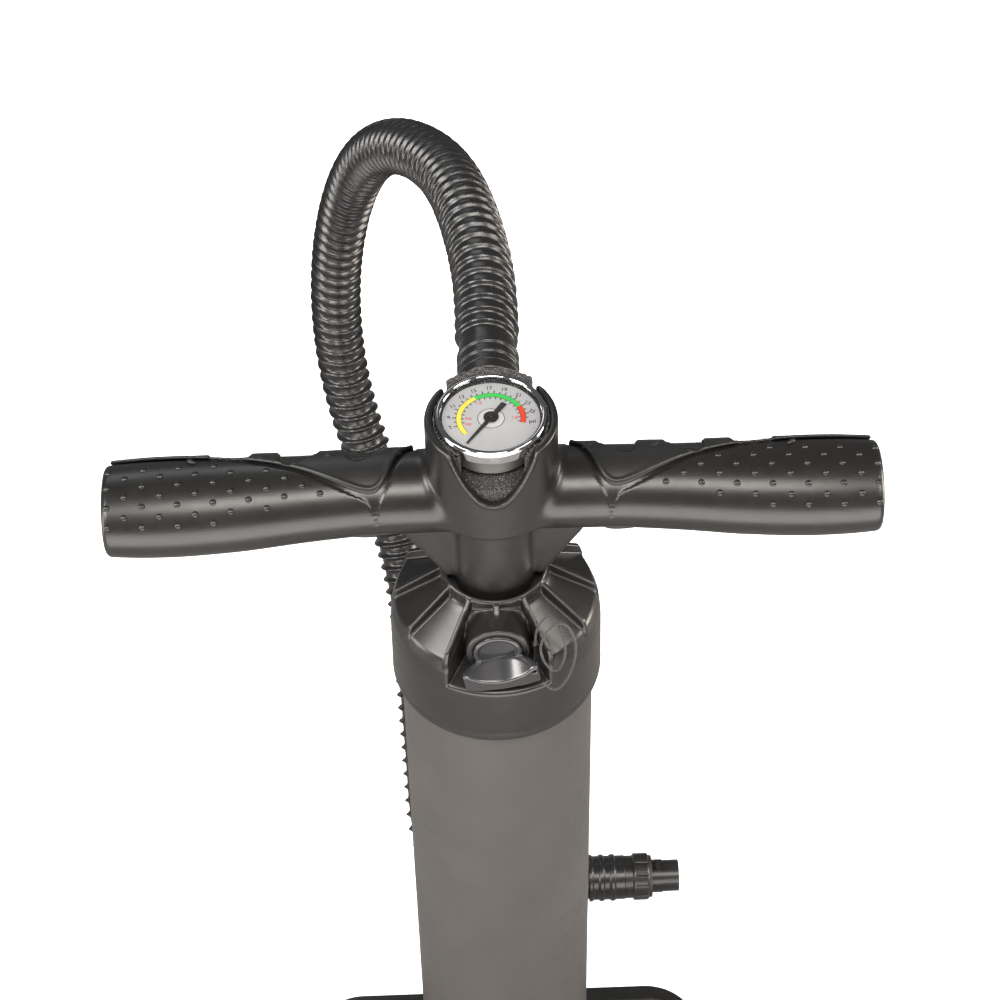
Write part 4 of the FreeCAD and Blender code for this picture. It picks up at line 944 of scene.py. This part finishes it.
def tick(angle, inner, outer):
    """A short radial bar."""
    x, y = dial_point(angle, 1)
    half = TICK_WIDTH / 2
    return [(x * r - y * w, y * r + x * w)
            for r, w in ((inner, half), (inner, -half), (outer, -half), (outer, half))]


def dial_text(name, labels, size, material):
    """Numbers and units printed on the dial, as thin solids in one piece."""
    points, faces = [], []
    for text, angle, radius, lean in labels:
        curve = bpy.data.curves.new(name, "FONT")
        curve.body, curve.size, curve.resolution_u = text, size * MM, 4
        curve.extrude, curve.offset = TEXT_DEPTH * MM, TEXT_SWELL * MM
        curve.align_x, curve.align_y = "CENTER", "CENTER"
        thing = add_object(name, curve)
        bpy.context.view_layer.update()
        graph = bpy.context.evaluated_depsgraph_get()
        mesh = bpy.data.meshes.new_from_object(thing.evaluated_get(graph))
        x, y = dial_point(angle, radius)
        mesh.transform(Matrix.Translation((x * MM, y * MM, (DIAL_FACE + 0.05) * MM))
                       @ Matrix.Rotation(math.radians(-lean), 4, "Z"))
        bpy.data.objects.remove(thing)
        first = len(points)
        points += [tuple(v.co / MM) for v in mesh.vertices]
        faces += [tuple(first + i for i in p.vertices) for p in mesh.polygons]
    piece(name, mesh_from(name, points, faces), "handle", "dial_white", smooth=False,
          material=material)


def make_dial():
    """The dial's print, in thin plates: coloured arcs, lines and ticks, a grey disc, numbers."""
    layer = DIAL_FACE + 0.03
    black = print_ink("ink_black", (0.02, 0.02, 0.02))
    inner, outer = 0.61 * DIAL_RADIUS, 0.71 * DIAL_RADIUS
    for name, colour, start, end in DIAL_ARCS:
        flat_pieces(f"dial_arc_{name}", arc_band(start, end, inner, outer), layer, 0.02,
                    "dial_white", material=print_ink(f"ink_{name}", colour))
    lines = arc_band(DIAL_START, DIAL_END, inner - 0.2, inner)
    lines += arc_band(DIAL_START, DIAL_END, outer, outer + 0.2)
    lines += arc_band(0, 360, 6.15, 6.5)
    lines += [tick(-105 + 9.3 * i, outer, outer + (1.9 if i % 2 == 0 else 1.3)) for i in range(22)]
    lines += [tick(-100 + 11.1 * i, inner - 1.4, inner) for i in range(19)]
    flat_pieces("dial_lines", lines, layer + 0.021, 0.012, "dial_white", material=black)
    flat_pieces("dial_centre_disc", arc_band(0, 360, 1.1, 6.15), layer, 0.02, "dial_white",
                material=print_ink("ink_grey", (0.62, 0.63, 0.64)))
    labels = [(str(mark), angle, 0.86 * DIAL_RADIUS, angle * 0.35) for mark, angle in DIAL_MARKS]
    dial_text("dial_numbers", labels + [("psi", 98, 0.85 * DIAL_RADIUS, 0)], 3.1, black)
    red = [(text, angle, share * DIAL_RADIUS, 0) for text, angle, share in
           (("0.6", -88, 0.46), ("1.0", -28, 0.50), ("1.8", 90, 0.48), ("bar", -107, 0.48))]
    dial_text("dial_numbers_red", red, 2.4, print_ink("ink_red_text", (0.75, 0.12, 0.10)))


def make_needle():
    """The pointer with its heavy tail, and the button over its middle."""
    x, y = dial_point(NEEDLE_ANGLE, 1)
    shape = [(-11.2, 1.4), (-11.2, -1.4), (-2.5, -1.2), (2.5, -1.05), (20.2, -0.5), (20.2, 0.5),
             (2.5, 1.05), (-2.5, 1.2)]
    outline = [(x * along - y * across, y * along + x * across) for along, across in shape]
    flat_pieces("needle_pointer", [outline], DIAL_FACE + 0.68, 0.32, "needle_black", "needle",
                "gauge_needle")
    base = DIAL_FACE + 1.02

    def ripple(angle, r):
        return 0.06 * math.sin(9 * angle) * (1 if 1 < r < 3.4 else 0)

    turned_piece("needle_button", "needle", "needle_black", "needle_hub",
                 [(0.53, base), (3.6, base), (3.6, base + 0.28), (3.1, base + 0.4),
                  (1.9, base + 0.4), (1.7, base + 0.3), (0.53, base + 0.3)], 0.08,
                 segments=72, wobble=ripple)


# ------------------------------------------------------------------ stage

CAMERA_PITCH, CAMERA_YAW, CAMERA_ROLL = (math.radians(a) for a in (48, 1.03, -1.2))
CAMERA_DISTANCE, LENS = 1305.0, 99.0
CAMERA_SHIFT = (-4.27, -39.4)
FLOOR_HALF = 9000
ROOM_LIGHT = 0.14
LIGHT_TARGET = Vector((0, 0, 0.5))
# Name, place and size in metres, watts, colour.
LIGHTS = (("overhead", (0.0, -0.80, 2.1), (1.0, 0.6), 28, (1, 0.95, 0.89)),
          ("upper_left", (-1.40, -0.65, 1.9), (0.9, 0.8), 40, (1, 0.97, 0.94)),
          ("upper_right", (1.40, -0.65, 1.9), (0.9, 0.8), 28, (1, 0.94, 0.87)),
          ("front_card", (0.0, -0.68, 0.03), (1.9, 1.25), 40, (1, 0.955, 0.91)),
          ("back", (-0.6, 1.9, 1.9), (1.2, 0.6), 5, (0.95, 0.97, 1)),
          ("right", (1.7, 0.25, 0.4), (0.6, 1.4), 42, (1, 0.92, 0.84)),
          ("left", (-1.8, -0.3, 0.5), (0.5, 1.4), 26, (1, 0.96, 0.92)))


def make_camera():
    """The camera looks down on the handle from the front, through a long lens."""
    pitch, yaw, roll = CAMERA_PITCH, CAMERA_YAW, CAMERA_ROLL
    ahead = Vector((math.sin(yaw) * math.cos(pitch), math.cos(yaw) * math.cos(pitch),
                    -math.sin(pitch)))
    level = Vector((math.cos(yaw), -math.sin(yaw), 0))
    up = level.cross(ahead)
    right = level * math.cos(roll) + up * math.sin(roll)
    up = up * math.cos(roll) - level * math.sin(roll)
    back_off = ahead * CAMERA_DISTANCE + right * CAMERA_SHIFT[0] - up * CAMERA_SHIFT[1]
    spot = Vector((0, 0, CUP_TOP)) - back_off
    camera = add_object("camera", bpy.data.cameras.new("camera"))
    camera.data.lens, camera.data.sensor_width = LENS, 36.0
    camera.data.clip_start, camera.data.clip_end = 0.05, 50
    axes = Matrix((right, up, -ahead)).transposed()
    camera.matrix_world = Matrix.Translation(spot * MM) @ axes.to_4x4()
    bpy.context.scene.camera = camera


def make_floor():
    """A pale floor: white to the camera, dim to every other ray."""
    corners = [(x * FLOOR_HALF, y * FLOOR_HALF, 0) for x, y in ((-1, -1), (1, -1), (1, 1), (-1, 1))]
    mesh = mesh_from("floor", corners, [(0, 1, 2, 3)])
    floor = add_object("floor", mesh)
    s = Shader("pale_floor")
    seen = s.add("ShaderNodeLightPath").outputs["Is Camera Ray"]
    paper = s.mix(s.noise(3, 3), (0.86, 0.855, 0.85), (0.90, 0.895, 0.89))
    s.link(s.mix(seen, (0.20, 0.195, 0.19), paper), s.skin.inputs["Base Color"])
    s.link(s.remap(seen, 0.08, 1.0), s.skin.inputs["Emission Strength"])
    s.set(roughness=0.9, emission_color=(1, 1, 1, 1))
    mesh.materials.append(s.material)


def make_world():
    """A backdrop with the same switch: white to the camera, dim to every other ray."""
    world = bpy.data.worlds.new("studio")
    bpy.context.scene.world = world
    world.use_nodes = True
    tree = world.node_tree
    sky = tree.nodes["Background"]
    sky.inputs["Color"].default_value = (0.97, 0.98, 1.0, 1)
    rays = tree.nodes.new("ShaderNodeLightPath")
    level = tree.nodes.new("ShaderNodeMapRange")
    level.inputs["To Min"].default_value = ROOM_LIGHT
    level.inputs["To Max"].default_value = 1.0
    tree.links.new(rays.outputs["Is Camera Ray"], level.inputs["Value"])
    tree.links.new(level.outputs["Result"], sky.inputs["Strength"])


def make_lights():
    """Soft rectangles of light, all turned to the pump."""
    for name, spot, size, power, colour in LIGHTS:
        data = bpy.data.lights.new(name, "AREA")
        data.shape, data.size, data.size_y = "RECTANGLE", *size
        data.energy, data.color = power, colour
        light = add_object(name, data)
        light.location = spot
        light.visible_camera = False
        light.rotation_euler = (LIGHT_TARGET - Vector(spot)).to_track_quat("-Z", "Y").to_euler()


# ------------------------------------------------------------------ build

for node, thing in NODES.items():
    thing.data.materials.clear()
    thing.data.materials.append(MATERIALS[SLOTS[node]])
    crisp(thing)

make_handle()
make_grip(-1, "left_grip_cover", "left_grip_pad")
make_grip(1, "right_grip_cover", "right_grip_pad")
make_dots(-1, "left_grip_pips")
make_dots(1, "right_grip_pips")
make_cap()
make_plug()
make_hose()
make_cord()
make_cuffs()
make_barrel()
make_tread("left_tread_mat", "left_foot_tread")
make_tread("right_tread_mat", "right_foot_tread")
make_gauge_housing()
make_foam()
make_dial()
make_needle()
make_camera()
make_floor()
make_world()
make_lights()
bpy.context.scene.view_settings.view_transform = "Standard"
